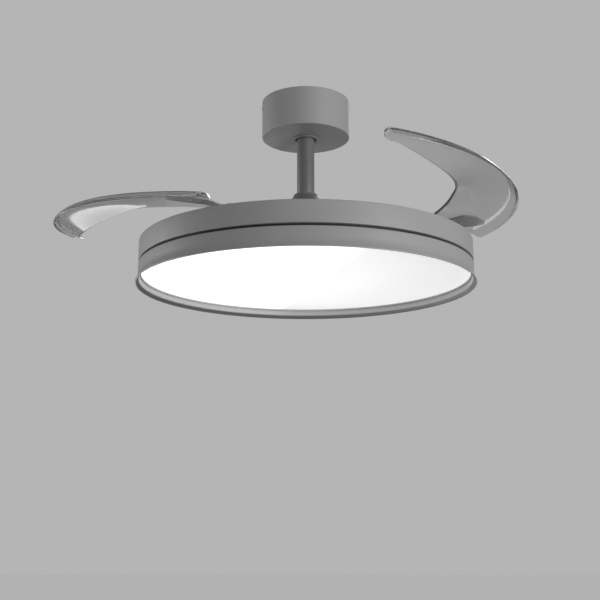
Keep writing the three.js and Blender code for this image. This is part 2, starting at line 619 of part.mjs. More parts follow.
// The stator's laminated core: a hub with straight poles.
function statorCore() {
  const outline = [];
  const half = POLE_WIDTH / 2;
  const rootAngle = Math.asin(half / CORE_HUB_RADIUS);
  const tipAngle = Math.asin(half / CORE_RADIUS);
  aroundAxis(POLES, (angle) => {
    outline.push(polar(CORE_HUB_RADIUS, angle - rootAngle), polar(CORE_RADIUS, angle - tipAngle));
    outline.push(polar(CORE_RADIUS, angle + tipAngle), polar(CORE_HUB_RADIUS, angle + rootAngle));
  });
  const bottom = MAGNET_MIDDLE - CORE_HEIGHT / 2;
  const bore = disc(SHAFT_RADIUS + SEAT, bottom - PAST, bottom + CORE_HEIGHT + PAST, MEDIUM);
  return piece('stator_core', 'magnet', cut(prism(outline, bottom, CORE_HEIGHT), [bore]));
}

// One coil to each pole, on one bobbin ring.
function statorWindings() {
  const start = CORE_HUB_RADIUS + 2 * COIL_THICKNESS;
  const end = CORE_RADIUS - COIL_THICKNESS;
  const halfWidth = POLE_WIDTH / 2 + FIT;
  const halfHeight = CORE_HEIGHT / 2 + FIT;
  const wound = halfWidth + COIL_THICKNESS;
  const high = halfHeight + COIL_THICKNESS;
  const coils = aroundAxis(POLES, (angle) => cut(
    block([start, end], [-wound, wound], [-high, high]),
    [block([start - PAST, end + PAST], [-halfWidth, halfWidth], [-halfHeight, halfHeight])],
  ).rotateZ(angle).translate(0, 0, MAGNET_MIDDLE));
  const bobbinTop = MAGNET_MIDDLE + high;
  const bobbin = ring(start - COIL_THICKNESS, start + COIL_THICKNESS,
    bobbinTop - COIL_THICKNESS / 2, bobbinTop + COIL_THICKNESS / 2);
  return piece('stator_windings', 'copper', join([bobbin, ...coils]));
}

// ---------------------------------------------------------------- lamp drum, carried by the shaft

function lampHousing() {
  const inside = DRUM_RADIUS - DRUM_WALL;
  const pan = turned([
    [RIM_INNER_RADIUS, BAND_BOTTOM],
    [DRUM_RADIUS, BAND_BOTTOM],
    [DRUM_RADIUS, DRUM_TOP - DRUM_CORNER],
    [DRUM_RADIUS - CORNER_SHARE * DRUM_CORNER, DRUM_TOP - CORNER_SHARE * DRUM_CORNER],
    [DRUM_RADIUS - DRUM_CORNER, DRUM_TOP],
    [DRUM_MOUTH_RADIUS, DRUM_TOP],
    [DRUM_MOUTH_RADIUS, DRUM_TOP - DRUM_WALL],
    [inside - DRUM_CORNER, DRUM_TOP - DRUM_WALL],
    [inside, DRUM_TOP - DRUM_WALL - DRUM_CORNER],
    [inside, BAND_BOTTOM + DRUM_WALL],
    [RIM_INNER_RADIUS, BAND_BOTTOM + DRUM_WALL],
  ], ROUND);
  return piece('lamp_housing', 'greyPaint', cut(pan, rimHoles(BAND_BOTTOM, BAND_BOTTOM + DRUM_WALL)));
}

function rimHoles(bottom, top) {
  return aroundAxis(RIM_SCREWS, (angle) => disc(SCREW_RADIUS + SEAT, bottom - PAST, top + PAST, TINY)
    .translate(...polar(RIM_SCREW_CIRCLE, angle), 0));
}

function basePlate() {
  const plate = ring(SHAFT_RADIUS + SEAT, DRUM_RADIUS - GAP_DEPTH, BASE_BOTTOM, BAND_BOTTOM - SEAT, ROUND);
  return piece('base_plate', 'darkPaint', cut(plate, rimHoles(BASE_BOTTOM, BAND_BOTTOM)));
}

function spacerRing() {
  const spacer = ring(RIM_INNER_RADIUS, DRUM_RADIUS - GAP_DEPTH, RING_TOP + SEAT, BASE_BOTTOM - SEAT, ROUND);
  return piece('spacer_ring', 'darkPaint', cut(spacer, rimHoles(RING_TOP, BASE_BOTTOM)));
}

// The lower ring flares to a rounded lip and carries the diffuser on a small inner ledge.
function lowerRing() {
  const wallInner = DRUM_RADIUS - RING_WALL;
  const ledgeTop = LIP_BOTTOM + DIFFUSER_RECESS - FIT;
  const ledgeBottom = ledgeTop - LEDGE_THICKNESS;
  const flange = RING_TOP - DRUM_WALL;
  const lower = turned([
    [RIM_INNER_RADIUS, RING_TOP],
    [RIM_INNER_RADIUS, flange],
    [wallInner, flange],
    [wallInner, ledgeTop],
    [wallInner - LEDGE_WIDTH, ledgeTop],
    [wallInner - LEDGE_WIDTH, ledgeBottom],
    [wallInner, ledgeBottom],
    [wallInner, LIP_BOTTOM + LIP_HEIGHT],
    [DRUM_RADIUS + LIP_FLARE - RING_WALL, LIP_BOTTOM],
    [DRUM_RADIUS + LIP_FLARE - LIP_ROUNDING * RING_WALL, LIP_BOTTOM],
    ...LIP_OUTSIDE.map(([flare, rise]) => [DRUM_RADIUS + flare * LIP_FLARE, LIP_BOTTOM + rise * LIP_HEIGHT]),
    [DRUM_RADIUS, RING_TOP],
  ], ROUND);
  return piece('lower_ring', 'greyPaint', cut(lower, rimHoles(flange, RING_TOP)));
}

function rimScrews() {
  const head = RING_TOP - DRUM_WALL - SEAT;
  const length = GAP_HEIGHT + 2 * DRUM_WALL;
  return aroundAxis(RIM_SCREWS, (angle, i) => piece(`rim_screw_${i + 1}`, 'steel', screw(
    SCREW_RADIUS, SCREW_HEAD_RADIUS, SCREW_HEAD_HEIGHT, length).rotateX(Math.PI)
    .translate(...polar(RIM_SCREW_CIRCLE, angle), head)));
}

function diffuser() {
  const bottom = LIP_BOTTOM + DIFFUSER_RECESS;
  const radius = DRUM_RADIUS - RING_WALL - FIT;
  return piece('diffuser', 'lamp', disc(radius, bottom, bottom + DIFFUSER_THICKNESS, ROUND));
}

const BOARD_TOP = BASE_BOTTOM - SEAT;
const BOARD_BOTTOM = BOARD_TOP - LED_BOARD_THICKNESS;

// The board with its soldered light-emitting chips, in circles.
function ledBoard() {
  const half = LED_SIZE / 2;
  const board = ring(LED_BOARD_BORE, LED_BOARD_RADIUS, BOARD_BOTTOM, BOARD_TOP);
  const chips = LED_RINGS.flatMap(([share, count]) => aroundAxis(count, (angle) => block(
    [share * LED_BOARD_RADIUS - half, share * LED_BOARD_RADIUS + half], [-half, half],
    [BOARD_BOTTOM - LED_THICKNESS, BOARD_BOTTOM + LED_BOARD_THICKNESS / 2]).rotateZ(angle)));
  return piece('led_board', 'board', join([board, ...chips]));
}

function ledDriver() {
  const [width, depth, height] = DRIVER_SIZE;
  const far = RIM_INNER_RADIUS - DRIVER_TO_RIM;
  const bottom = BAND_BOTTOM + SEAT;
  return piece('led_driver', 'whitePlastic', block(
    [far - width, far], [-depth / 2, depth / 2],
    [bottom, bottom + height]));
}

// ---------------------------------------------------------------- rotor

const CARRIER_SCREW_CIRCLE = (MOTOR_RADIUS + MOTOR_FLANGE_RADIUS) / 2;
const COVER_RISER = MOTOR_FLANGE_RADIUS - COVER_THICKNESS;

function carrierScrewHoles() {
  return aroundAxis(CARRIER_SCREWS, (angle) => disc(
    SCREW_RADIUS + SEAT, MOTOR_BOTTOM, MOTOR_TOP, TINY)
    .translate(...polar(CARRIER_SCREW_CIRCLE, angle), 0));
}

function motorTopCover() {
  const inside = MOTOR_RADIUS - MOTOR_WALL;
  const ceiling = MOTOR_TOP - MOTOR_WALL;
  const boss = BEARING_SEAT + MOTOR_BOSS_WALL;
  const flangeBottom = CARRIER_TOP + SEAT;
  const [bendIn, bendDown] = SHOULDER_BEND;
  const cover = turned([
    [MOTOR_BORE, MOTOR_TOP],
    [MOTOR_RADIUS - MOTOR_SHOULDER_WIDTH, MOTOR_TOP],
    [MOTOR_RADIUS - bendIn * MOTOR_SHOULDER_WIDTH, MOTOR_TOP - bendDown * MOTOR_SHOULDER],
    [MOTOR_RADIUS, MOTOR_TOP - MOTOR_SHOULDER],
    [MOTOR_RADIUS, flangeBottom + MOTOR_FLANGE_THICKNESS],
    [MOTOR_FLANGE_RADIUS, flangeBottom + MOTOR_FLANGE_THICKNESS],
    [MOTOR_FLANGE_RADIUS, flangeBottom],
    [MOTOR_RADIUS, flangeBottom],
    [MOTOR_RADIUS, CARRIER_BOTTOM],
    [inside, CARRIER_BOTTOM],
    [inside, MOTOR_TOP - MOTOR_SHOULDER],
    [inside - MOTOR_SHOULDER_WIDTH, ceiling],
    [boss, ceiling],
    [boss, ceiling - BEARING_HEIGHT],
    [BEARING_SEAT, ceiling - BEARING_HEIGHT],
    [BEARING_SEAT, ceiling],
    [MOTOR_BORE, ceiling],
  ], MEDIUM);
  return piece('motor_top_cover', 'greyPaint', cut(cover, carrierScrewHoles()));
}

function motorBottomCover() {
  const inside = MOTOR_RADIUS - MOTOR_WALL;
  const floor = MOTOR_BOTTOM + MOTOR_WALL;
  const boss = BEARING_SEAT + MOTOR_BOSS_WALL;
  const flangeTop = CARRIER_BOTTOM - SEAT;
  const flangeBottom = flangeTop - MOTOR_FLANGE_THICKNESS;
  const cover = turned([
    [MOTOR_BORE, MOTOR_BOTTOM],
    [MOTOR_RADIUS - MOTOR_SLANT, MOTOR_BOTTOM],
    [MOTOR_RADIUS, MOTOR_BOTTOM + MOTOR_SLANT],
    [MOTOR_RADIUS, flangeBottom],
    [MOTOR_FLANGE_RADIUS, flangeBottom],
    [MOTOR_FLANGE_RADIUS, flangeTop],
    [inside, flangeTop],
    [inside, MOTOR_BOTTOM + MOTOR_SLANT],
    [inside - MOTOR_SLANT, floor],
    [boss, floor],
    [boss, floor + BEARING_HEIGHT],
    [BEARING_SEAT, floor + BEARING_HEIGHT],
    [BEARING_SEAT, floor],
    [MOTOR_BORE, floor],
  ], MEDIUM);
  return piece('motor_bottom_cover', 'greyPaint', cut(cover, carrierScrewHoles()));
}

function magnetRing() {
  const outer = MOTOR_RADIUS - MOTOR_WALL - SEAT;
  const half = MAGNET_HEIGHT / 2;
  return piece('magnet_ring', 'magnet',
    ring(outer - MAGNET_THICKNESS, outer, MAGNET_MIDDLE - half, MAGNET_MIDDLE + half));
}

function bearing(name, bottom) {
  return piece(name, 'steel', ring(SHAFT_RADIUS + FIT, BEARING_RADIUS, bottom, bottom + BEARING_HEIGHT));
}

function atPivots(make) {
  return aroundAxis(BLADES, (angle, i) => make(i + 1).translate(PIVOT_RADIUS, 0, 0).rotateZ(angle));
}

// The lug on each arm meets one stop closed and the other fully open.
const LUG_ANGLE = -BLADE_TRAVEL / 2;
const STOP_CLEAR = Math.asin((LUG_HALF_WIDTH + STOP_RADIUS + 2 * FIT) / STOP_CIRCLE);
const STOP_REACH = BLADE_TRAVEL / 2 + STOP_CLEAR;

// A flat disc clamped between the motor's flanges, with two raised stops beside each pivot.
function carrierPlate() {
  const plate = ring(MOTOR_RADIUS + FIT, CARRIER_RADIUS, CARRIER_BOTTOM, CARRIER_TOP, ROUND);
  const stops = [-STOP_REACH, STOP_REACH].flatMap((angle) => atPivots(() => disc(
    STOP_RADIUS, CARRIER_BOTTOM + CARRIER_THICKNESS / 2, CARRIER_TOP + STOP_HEIGHT, TINY)
    .translate(...polar(STOP_CIRCLE, angle), 0)));
  return piece('carrier_plate', 'steel', cut(join([plate, ...stops]), carrierScrewHoles()));
}

function carrierScrews() {
  const stack = COVER_THICKNESS + 2 * MOTOR_FLANGE_THICKNESS + CARRIER_THICKNESS;
  const under = CARRIER_TOP + MOTOR_FLANGE_THICKNESS + COVER_THICKNESS + 3 * SEAT;
  return aroundAxis(CARRIER_SCREWS, (angle, i) => piece(`carrier_screw_${i + 1}`, 'steel', screw(
    SCREW_RADIUS, SCREW_HEAD_RADIUS, SCREW_HEAD_HEIGHT, stack)
    .translate(...polar(CARRIER_SCREW_CIRCLE, angle), under)));
}

// A dished disc over the gears: its hub is clamped on the motor's flange, and its rim lies
// just above the teeth.
function gearCover() {
  const hubBottom = CARRIER_TOP + MOTOR_FLANGE_THICKNESS + 2 * SEAT;
  const rimBottom = GEAR_TOP + COVER_OVER_GEAR;
  const dish = turned([
    [MOTOR_RADIUS + FIT, hubBottom],
    [COVER_RISER, hubBottom],
    [COVER_RISER, rimBottom],
    [COVER_RADIUS, rimBottom],
    [COVER_RADIUS, rimBottom + COVER_THICKNESS],
    [COVER_RISER - COVER_THICKNESS, rimBottom + COVER_THICKNESS],
    [COVER_RISER - COVER_THICKNESS, hubBottom + COVER_THICKNESS],
    [MOTOR_RADIUS + FIT, hubBottom + COVER_THICKNESS],
  ], ROUND);
  return piece('gear_cover', 'greyPaint', cut(dish, carrierScrewHoles()));
}

function pivotPosts() {
  const base = CARRIER_TOP + SEAT;
  const profile = [
    [0, base],
    [POST_BASE_RADIUS, base],
    [POST_BASE_RADIUS, base + POST_BASE_HEIGHT],
    [POST_RADIUS, base + POST_BASE_HEIGHT],
    [POST_RADIUS, POST_TOP],
    [0, POST_TOP],
  ];
  return atPivots(() => turned(profile, SMALL)).map((post, i) => piece(`pivot_post_${i + 1}`, 'steel', post));
}

function pivotNuts() {
  const nuts = atPivots(() => hexNut(
    POST_RADIUS + SEAT, PIVOT_NUT_RADIUS, PIVOT_NUT_BOTTOM, PIVOT_NUT_HEIGHT));
  return nuts.map((nut, i) => piece(`pivot_nut_${i + 1}`, 'steel', nut));
}

// ---------------------------------------------------------------- gears

function involute(angle) {
  return Math.tan(angle) - angle;
}

function halfToothAngle(teeth, radius) {
  const pitch = (GEAR_MODULE * teeth) / 2;
  const base = pitch * Math.cos(PRESSURE_ANGLE);
  const roll = Math.acos(base / Math.max(radius, base));
  const atPitch = Math.PI / (2 * teeth) - TOOTH_THINNING / (2 * pitch);
  return atPitch + involute(PRESSURE_ANGLE) - involute(roll);
}

function gearOutline(teeth, toothAngles, blankRadius) {
  const pitch = (GEAR_MODULE * teeth) / 2;
  const root = pitch - TOOTH_DEDENDUM * GEAR_MODULE;
  const tip = pitch + TOOTH_ADDENDUM * GEAR_MODULE;
  const flank = [root, pitch, tip];
  const pitchAngle = (2 * Math.PI) / teeth;
  const outline = [];
  toothAngles.forEach((angle, i) => {
    flank.forEach((radius) => outline.push(polar(radius, angle - halfToothAngle(teeth, radius))));
    [...flank].reverse().forEach((radius) => outline.push(
      polar(radius, angle + halfToothAngle(teeth, radius))));
    const next = i + 1 < toothAngles.length ? toothAngles[i + 1] : toothAngles[0] + 2 * Math.PI;
    const blank = next - angle - pitchAngle;
    if (blank < pitchAngle / 2) return;
    const steps = Math.ceil(blank / BLANK_STEP);
    for (let k = 0; k <= steps; k += 1) {
      outline.push(polar(blankRadius, angle + pitchAngle / 2 + (blank * k) / steps));
    }
  });
  return outline;
}

const GEAR_RATIO = ARM_TEETH / RING_TEETH;

// The ring's teeth in one sector: closed, the contact lies on the pivot's radius, and
// it moves on through the sector as the blades open.
function ringToothAngles() {
  const pitchAngle = (2 * Math.PI) / RING_TEETH;
  const used = Math.ceil((BLADE_TRAVEL * GEAR_RATIO) / pitchAngle);
  const sector = Array.from({ length: used + 3 }, (_, i) => (i - 1) * pitchAngle);
  return aroundAxis(BLADES, (angle) => sector.map((tooth) => tooth + angle)).flat();
}

function armToothAngles() {
  const pitchAngle = (2 * Math.PI) / ARM_TEETH;
  const used = Math.ceil(BLADE_TRAVEL / pitchAngle);
  return Array.from({ length: used + 2 }, (_, i) => Math.PI + (i - used - 0.5) * pitchAngle);
}

function syncRing() {
  const pitch = (GEAR_MODULE * RING_TEETH) / 2;
  const outline = gearOutline(RING_TEETH, ringToothAngles(), pitch - TOOTH_DEDENDUM * GEAR_MODULE);
  const bore = disc(MOTOR_FLANGE_RADIUS + 2 * FIT, GEAR_BOTTOM - PAST, GEAR_TOP + PAST, ROUND);
  const bottom = CARRIER_TOP + FIT;
  return piece('sync_ring', 'steel', cut(prism(outline, bottom, GEAR_TOP - bottom), [bore]));
}

// ---------------------------------------------------------------- one blade set
// Modelled closed, with the pivot's axis at the origin and the fan's axis on its -X side.

function pivotBush(name) {
  const top = ARM_PLATE_TOP - SEAT;
  return piece(name, 'bronze', ring(POST_RADIUS + FIT, BUSH_RADIUS, GEAR_BOTTOM, top, SMALL));
}

function returnSpring(name) {
  const inner = NECK_RADIUS + FIT;
  const top = ARM_PLATE_BOTTOM - 2 * FIT;
  return piece(name, 'steel', ring(inner, inner + SPRING_WALL, GEAR_TOP + SEAT, top, SMALL));
}

function smoothStep(from, to, value) {
  const t = Math.min(Math.max((value - from) / (to - from), 0), 1);
  return t * t * (3 - 2 * t);
}

// The crescent's width in a direction from the fan's axis, measured from the pivot's radius.
function crescentWidth(direction) {
  const away = direction - BLADE_WIDEST;
  const along = BLADE_CIRCLE_OFFSET * Math.cos(away);
  const across = BLADE_CIRCLE_OFFSET * Math.sin(away);
  return BLADE_OUTER_RADIUS + along - Math.sqrt(BLADE_INNER_RADIUS ** 2 - across ** 2);
}

// Directions of the blade's sections with the share of the full width that each has:
// both ends are rounded like half an ellipse.
function bladeStations() {
  const rootStart = -BLADE_ROOT_START - BLADE_ROOT_ROUND;
  const tipStart = -BLADE_SPAN + BLADE_TIP_ROUND;
  const stations = [];
  for (let i = 0; i < END_STATIONS; i += 1) {
    const turn = END_TURN * (1 - i / END_STATIONS);
    stations.push([rootStart + BLADE_ROOT_ROUND * Math.sin(turn), Math.cos(turn)]);
  }
  for (let i = 0; i <= BLADE_STATIONS; i += 1) {
    stations.push([rootStart + ((tipStart - rootStart) * i) / BLADE_STATIONS, 1]);
  }
  for (let i = 1; i <= END_STATIONS; i += 1) {
    const turn = (END_TURN * i) / END_STATIONS;
    stations.push([tipStart - BLADE_TIP_ROUND * Math.sin(turn), Math.cos(turn)]);
  }
  return stations;
}

function bladeWidth(direction) {
  const extra = BLADE_TIP_EXTRA * smoothStep(TIP_EXTRA_START, TIP_EXTRA_END, -direction / BLADE_SPAN);
  return Math.max(crescentWidth(direction) + extra, BLADE_TIP_WIDTH);
}

// Height of the blade's middle surface at a share of its width from the leading edge.
function bladeLevel(direction, across) {
  const along = Math.max(0, -direction / BLADE_SPAN);
  const full = bladeWidth(direction);
  const slope = ROOT_PITCH + (TIP_PITCH - ROOT_PITCH) * smoothStep(TWIST_START, TWIST_END, along);
  const edge = DRUM_TOP + BLADE_EDGE_RISE + BLADE_TIP_RISE * along ** BLADE_TIP_CURVE;
  const camber = BLADE_CAMBER * full * 4 * across * (1 - across);
  const lip = across < LEADING_LIP ? across / LEADING_LIP : (1 - across) / (1 - LEADING_LIP);
  return edge + slope * across * full + camber + LEADING_LIP_RISE * lip;
}

function bladeSection([direction, share]) {
  const point = (step, side) => {
    const across = 0.5 + (step - 0.5) * share;
    const radius = BLADE_OUTER_RADIUS - across * bladeWidth(direction);
    const bead = BLADE_BEAD * (1 - smoothStep(0, LEADING_LIP, across));
    const half = (step === 0 || step === 1 ? EDGE_SHARE : 0.5) * (BLADE_THICKNESS + bead);
    return [
      radius * Math.cos(direction) - PIVOT_RADIUS,
      radius * Math.sin(direction),
      bladeLevel(direction, across) + side * half,
    ];
  };
  const top = SECTION_STEPS.map((step) => point(step, 1));
  const bottom = [...SECTION_STEPS].reverse().map((step) => point(step, -1));
  return [...top, ...bottom];
}

// Closed skin through a row of equal loops, with a fan of triangles at either end.
function loft(loops) {
  const size = loops[0].length;
  const index = [];
  for (let i = 0; i + 1 < loops.length; i += 1) {
    for (let k = 0; k < size; k += 1) {
      const a = i * size + k;
      const b = i * size + ((k + 1) % size);
      index.push(a, b, a + size, b, b + size, a + size);
    }
  }
  const last = (loops.length - 1) * size;
  for (let k = 1; k + 1 < size; k += 1) {
    index.push(0, k + 1, k, last, last + k, last + k + 1);
  }
  const geometry = new THREE.BufferGeometry();
  geometry.setAttribute('position', new THREE.Float32BufferAttribute(loops.flat(2), 3));
  geometry.setIndex(index);
  return geometry;
}

// Height of the blade's middle surface over a place in the blade set's own plan.
function levelOver(x, y) {
  const direction = Math.atan2(y, x + PIVOT_RADIUS);
  const radius = Math.hypot(x + PIVOT_RADIUS, y);
  return bladeLevel(direction, (BLADE_OUTER_RADIUS - radius) / bladeWidth(direction));
}

// A plate whose outline holds distances along the blade, shifts towards its leading edge, and
// half widths. Its underside and top are given over each place in plan.
function shapedPlate(outline, under, over) {
  const loops = outline.map(([along, shift, half]) => {
    const row = PLATE_CELLS.map((cell) => shift + cell * half);
    const top = row.map((x) => [x, -along, over(x, -along)]);
    const bottom = [...row].reverse().map((x) => [x, -along, under(x, -along)]);
    return [...top, ...bottom];
  });
  return loft(loops);
}

function studs(radius, bottom, top) {
  return CLAMP_STUDS.map(([along, shift]) => disc(radius, bottom, top, TINY).translate(shift, -along, 0));
}

// The arm's plate starts flat at the pivot and climbs to the blade's underside.
function armPlateTop(x, y) {
  const climb = smoothStep(ARM_RAMP_START, ARM_RAMP_END, -y);
  const underBlade = levelOver(x, Math.min(y, -ARM_RAMP_START)) - BLADE_THICKNESS / 2 - ARM_UNDER_BLADE;
  return ARM_PLATE_TOP + (underBlade - ARM_PLATE_TOP) * climb;
}

const STUD_TOP = DRUM_TOP + 2 * BLADE_TIP_RISE; // over the whole blade near its arm

function bladeArm(name) {
  const gear = prism(gearOutline(ARM_TEETH, armToothAngles(), ARM_BLANK_RADIUS), GEAR_BOTTOM, GEAR_THICKNESS);
  const lug = block([0, LUG_REACH], [-LUG_HALF_WIDTH, LUG_HALF_WIDTH], [GEAR_BOTTOM, GEAR_TOP])
    .rotateZ(LUG_ANGLE);
  const neck = disc(NECK_RADIUS, GEAR_BOTTOM + GEAR_THICKNESS / 2, ARM_PLATE_BOTTOM + SEAT, SMALL);
  const hub = disc(ARM_PLATE_RADIUS, ARM_PLATE_BOTTOM, ARM_PLATE_TOP, MEDIUM);
  const plate = shapedPlate(ARM_OUTLINE, (x, y) => armPlateTop(x, y) - ARM_PLATE_THICKNESS, armPlateTop);
  const bore = disc(BUSH_RADIUS + SEAT, GEAR_BOTTOM - PAST, ARM_PLATE_TOP + PAST);
  const holes = studs(STUD_RADIUS + SEAT, GEAR_TOP, STUD_TOP);
  return piece(name, 'steel', cut(join([gear, lug, neck, hub, plate]), [bore, ...holes]));
}

// A strip on the blade's top, with studs that reach down through the blade into the arm.
function bladeClamp(name) {
  const under = (x, y) => levelOver(x, y) + BLADE_THICKNESS / 2 + CLAMP_GAP;
  const over = (x, y) => under(x, y) + CLAMP_THICKNESS;
  const rods = CLAMP_STUDS.map(([along, shift]) => disc(STUD_RADIUS,
    armPlateTop(shift, -along) - ARM_PLATE_THICKNESS, over(shift, -along) - CLAMP_THICKNESS / 2, TINY)
    .translate(shift, -along, 0));
  return piece(name, 'steel', join([shapedPlate(CLAMP_OUTLINE, under, over), ...rods]));
}

function blade(name) {
  const skin = loft(bladeStations().map(bladeSection));
  return piece(name, 'clearPlastic', cut(skin, studs(STUD_RADIUS + SEAT, DRUM_TOP, STUD_TOP)));
}

function bladeSet(number) {
  const set = new THREE.Group();
  set.add(blade(`blade_${number}`), bladeArm(`blade_arm_${number}`), pivotBush(`pivot_bush_${number}`));
  set.add(returnSpring(`return_spring_${number}`), bladeClamp(`blade_clamp_${number}`));
  return set;
}

// ---------------------------------------------------------------- assembly

const fan = new THREE.Group();

const ceilingSet = new THREE.Group();
ceilingSet.add(ceilingBracket(), canopy(), canopyGrommet());
ceilingSet.add(canopyScrew('canopy_screw_left', -1), canopyScrew('canopy_screw_right', 1));
ceilingSet.add(hungBox('remote_receiver', 'whitePlastic', RECEIVER_SIZE, 1));
ceilingSet.add(hungBox('terminal_block', 'whitePlastic', TERMINAL_SIZE, -1));

const hangingSet = new THREE.Group();
hangingSet.add(hangerBall(), crossPin(), downrod(), couplingYoke(), couplingPin(), setScrew());
hangingSet.add(couplingCover(), motorShaft(), shaftNut(), statorCore(), statorWindings());
hangingSet.add(lampHousing(), basePlate(), spacerRing(), lowerRing(), ...rimScrews());
hangingSet.add(ledBoard(), ledDriver(), diffuser());

const rotor = new THREE.Group();
rotor.rotation.z = ROTOR_ANGLE;
rotor.add(motorTopCover(), motorBottomCover(), magnetRing());
rotor.add(bearing('upper_bearing', MOTOR_TOP - MOTOR_WALL - BEARING_HEIGHT - SEAT));
rotor.add(bearing('lower_bearing', MOTOR_BOTTOM + MOTOR_WALL + SEAT));
rotor.add(carrierPlate(), ...carrierScrews(), gearCover(), ...pivotPosts(), ...pivotNuts());

const gearGroup = new THREE.Group();
gearGroup.rotation.z = -BLADE_OPENING * GEAR_RATIO;
gearGroup.add(syncRing());
rotor.add(gearGroup);

aroundAxis(BLADES, (angle, i) => {
  const set = bladeSet(i + 1);
  set.position.set(...polar(PIVOT_RADIUS, angle), 0);
  set.rotation.z = angle + BLADE_OPENING;
  rotor.add(set);
});

fan.add(ceilingSet, hangingSet, rotor);

export default fan;
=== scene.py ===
import math

import bpy
import numpy as np
from mathutils import Matrix, Vector


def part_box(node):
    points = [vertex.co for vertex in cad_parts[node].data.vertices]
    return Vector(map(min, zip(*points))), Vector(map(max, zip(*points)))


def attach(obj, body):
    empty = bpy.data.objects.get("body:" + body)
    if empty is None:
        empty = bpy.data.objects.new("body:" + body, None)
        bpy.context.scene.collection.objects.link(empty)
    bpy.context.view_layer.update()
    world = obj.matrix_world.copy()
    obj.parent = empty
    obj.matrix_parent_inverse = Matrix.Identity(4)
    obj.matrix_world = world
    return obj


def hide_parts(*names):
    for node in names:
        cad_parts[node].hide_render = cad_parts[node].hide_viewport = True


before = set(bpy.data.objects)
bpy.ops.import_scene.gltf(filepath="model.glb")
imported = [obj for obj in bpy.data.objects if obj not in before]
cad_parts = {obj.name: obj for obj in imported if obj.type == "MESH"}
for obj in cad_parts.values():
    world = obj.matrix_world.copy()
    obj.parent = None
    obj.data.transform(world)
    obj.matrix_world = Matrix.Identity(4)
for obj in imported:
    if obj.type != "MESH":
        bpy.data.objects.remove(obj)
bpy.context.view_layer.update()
scene = bpy.context.scene
MM = 0.001
TAU = 2 * math.pi


def low(node):
    """A piece's lowest level, to a hundredth of a millimetre."""
    return round(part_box(node)[0].z / MM, 2)


def high(node):
    """A piece's highest level."""
    return round(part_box(node)[1].z / MM, 2)


def radius_of(node):
    """The radius of a piece that is round about the axis."""
    return round(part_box(node)[1].x / MM, 2)


# -------- sizes shared with the solids
SEAT = 0.1  # between two flat faces that rest on each other
FIT = 0.3  # around a piece that sits in a hole
BLADES = 3
PIVOT_RADIUS = 183
ROTOR_ANGLE = math.radians(-4.1)
OPENING = math.radians(44.8)  # from closed to the reference pose
TRAVEL = math.radians(109)  # from closed to fully open
SCREW_RADIUS = 1.9

CANOPY_RADIUS = radius_of("canopy")
CANOPY_BOTTOM = low("canopy")
CANOPY_WALL = 1.2
CANOPY_CORNER = 2.2
CANOPY_EDGE = 0.4
CANOPY_HOLE = 17.8
GROMMET_BORE = 15.7
GROMMET_RADIUS = 20
GROMMET_WAIST = 17.5
GROMMET_LIP = 2.5
GROMMET_CLIP = 1.2
GROMMET_CHAMFER = 0.8
CANOPY_SCREW_DEPTH = 9.5
CANOPY_SCREW_LENGTH = 8
CANOPY_SCREW_HEAD_RADIUS = 3.4
CANOPY_SCREW_HEAD = 0.5
CANOPY_SCREW_RIM = 0.12

ROD_RADIUS = radius_of("downrod")
ROD_WALL = 2
BELL_RADIUS = radius_of("coupling_cover")
BELL_TOP = high("coupling_cover")
BELL_BOTTOM = low("coupling_cover")
BELL_WALL = 1.6
BELL_NECK_WALL = 1.1
BELL_ROOF = -161.3  # where the hollow under the bell closes on the yoke
BELL_STEPS = 28
BELL_HOLLOW_STEPS = 17
# The bell's outline from its skirt up: share of the spread from neck to skirt, share of the height.
BELL_PROFILE = [(1, 0), (0.96, 0.18), (0.86, 0.42), (0.68, 0.6), (0.46, 0.72), (0.25, 0.84),
                (0.2, 0.95), (0.12, 1)]
BELL_EASE = [1, 2, 3, 4, 3, 2, 1]  # weights that round the outline's bends

DRUM_RADIUS = radius_of("lamp_housing")
DRUM_TOP = high("lamp_housing")
DRUM_WALL = 1
DRUM_CORNER = 1.8
DRUM_MOUTH = 104
BAND_BOTTOM = low("lamp_housing")
RIM_INNER = 234
GAP_RADIUS = radius_of("base_plate")  # floor of the dark shadow line
BASE_BOTTOM = low("base_plate")
BASE_BORE = 8.6
ROUND = 288  # steps round the drum
RING_TOP = high("lower_ring")
RING_WALL = 2.4
RING_CORNER = 0.6
SLOPE_GUIDE_DROP = 6  # the straight sides that meet the ring's rounded top aim this far down
BAND_GUIDE_DROP = 20
LIP_BOTTOM = low("lower_ring")
LIP_OUTER = radius_of("lower_ring")
LIP_HEIGHT = 8
LIP_ROUND_SHARE = 0.2  # share of the lip's height in its rounded bottom
LIP_OUTSIDE_RISE = 2  # how many lip heights the flare takes outside
LIP_OUTSIDE_CURVE = 2.2
LIP_INSIDE_CURVE = 1.8
LIP_OUTSIDE_STEPS = 12
LIP_STEPS = 8
LEDGE_WIDTH = 2.4
LEDGE_THICKNESS = 2
DIFFUSER_BOTTOM = low("diffuser")
DIFFUSER_TOP = high("diffuser")
DIFFUSER_EDGE = 0.5

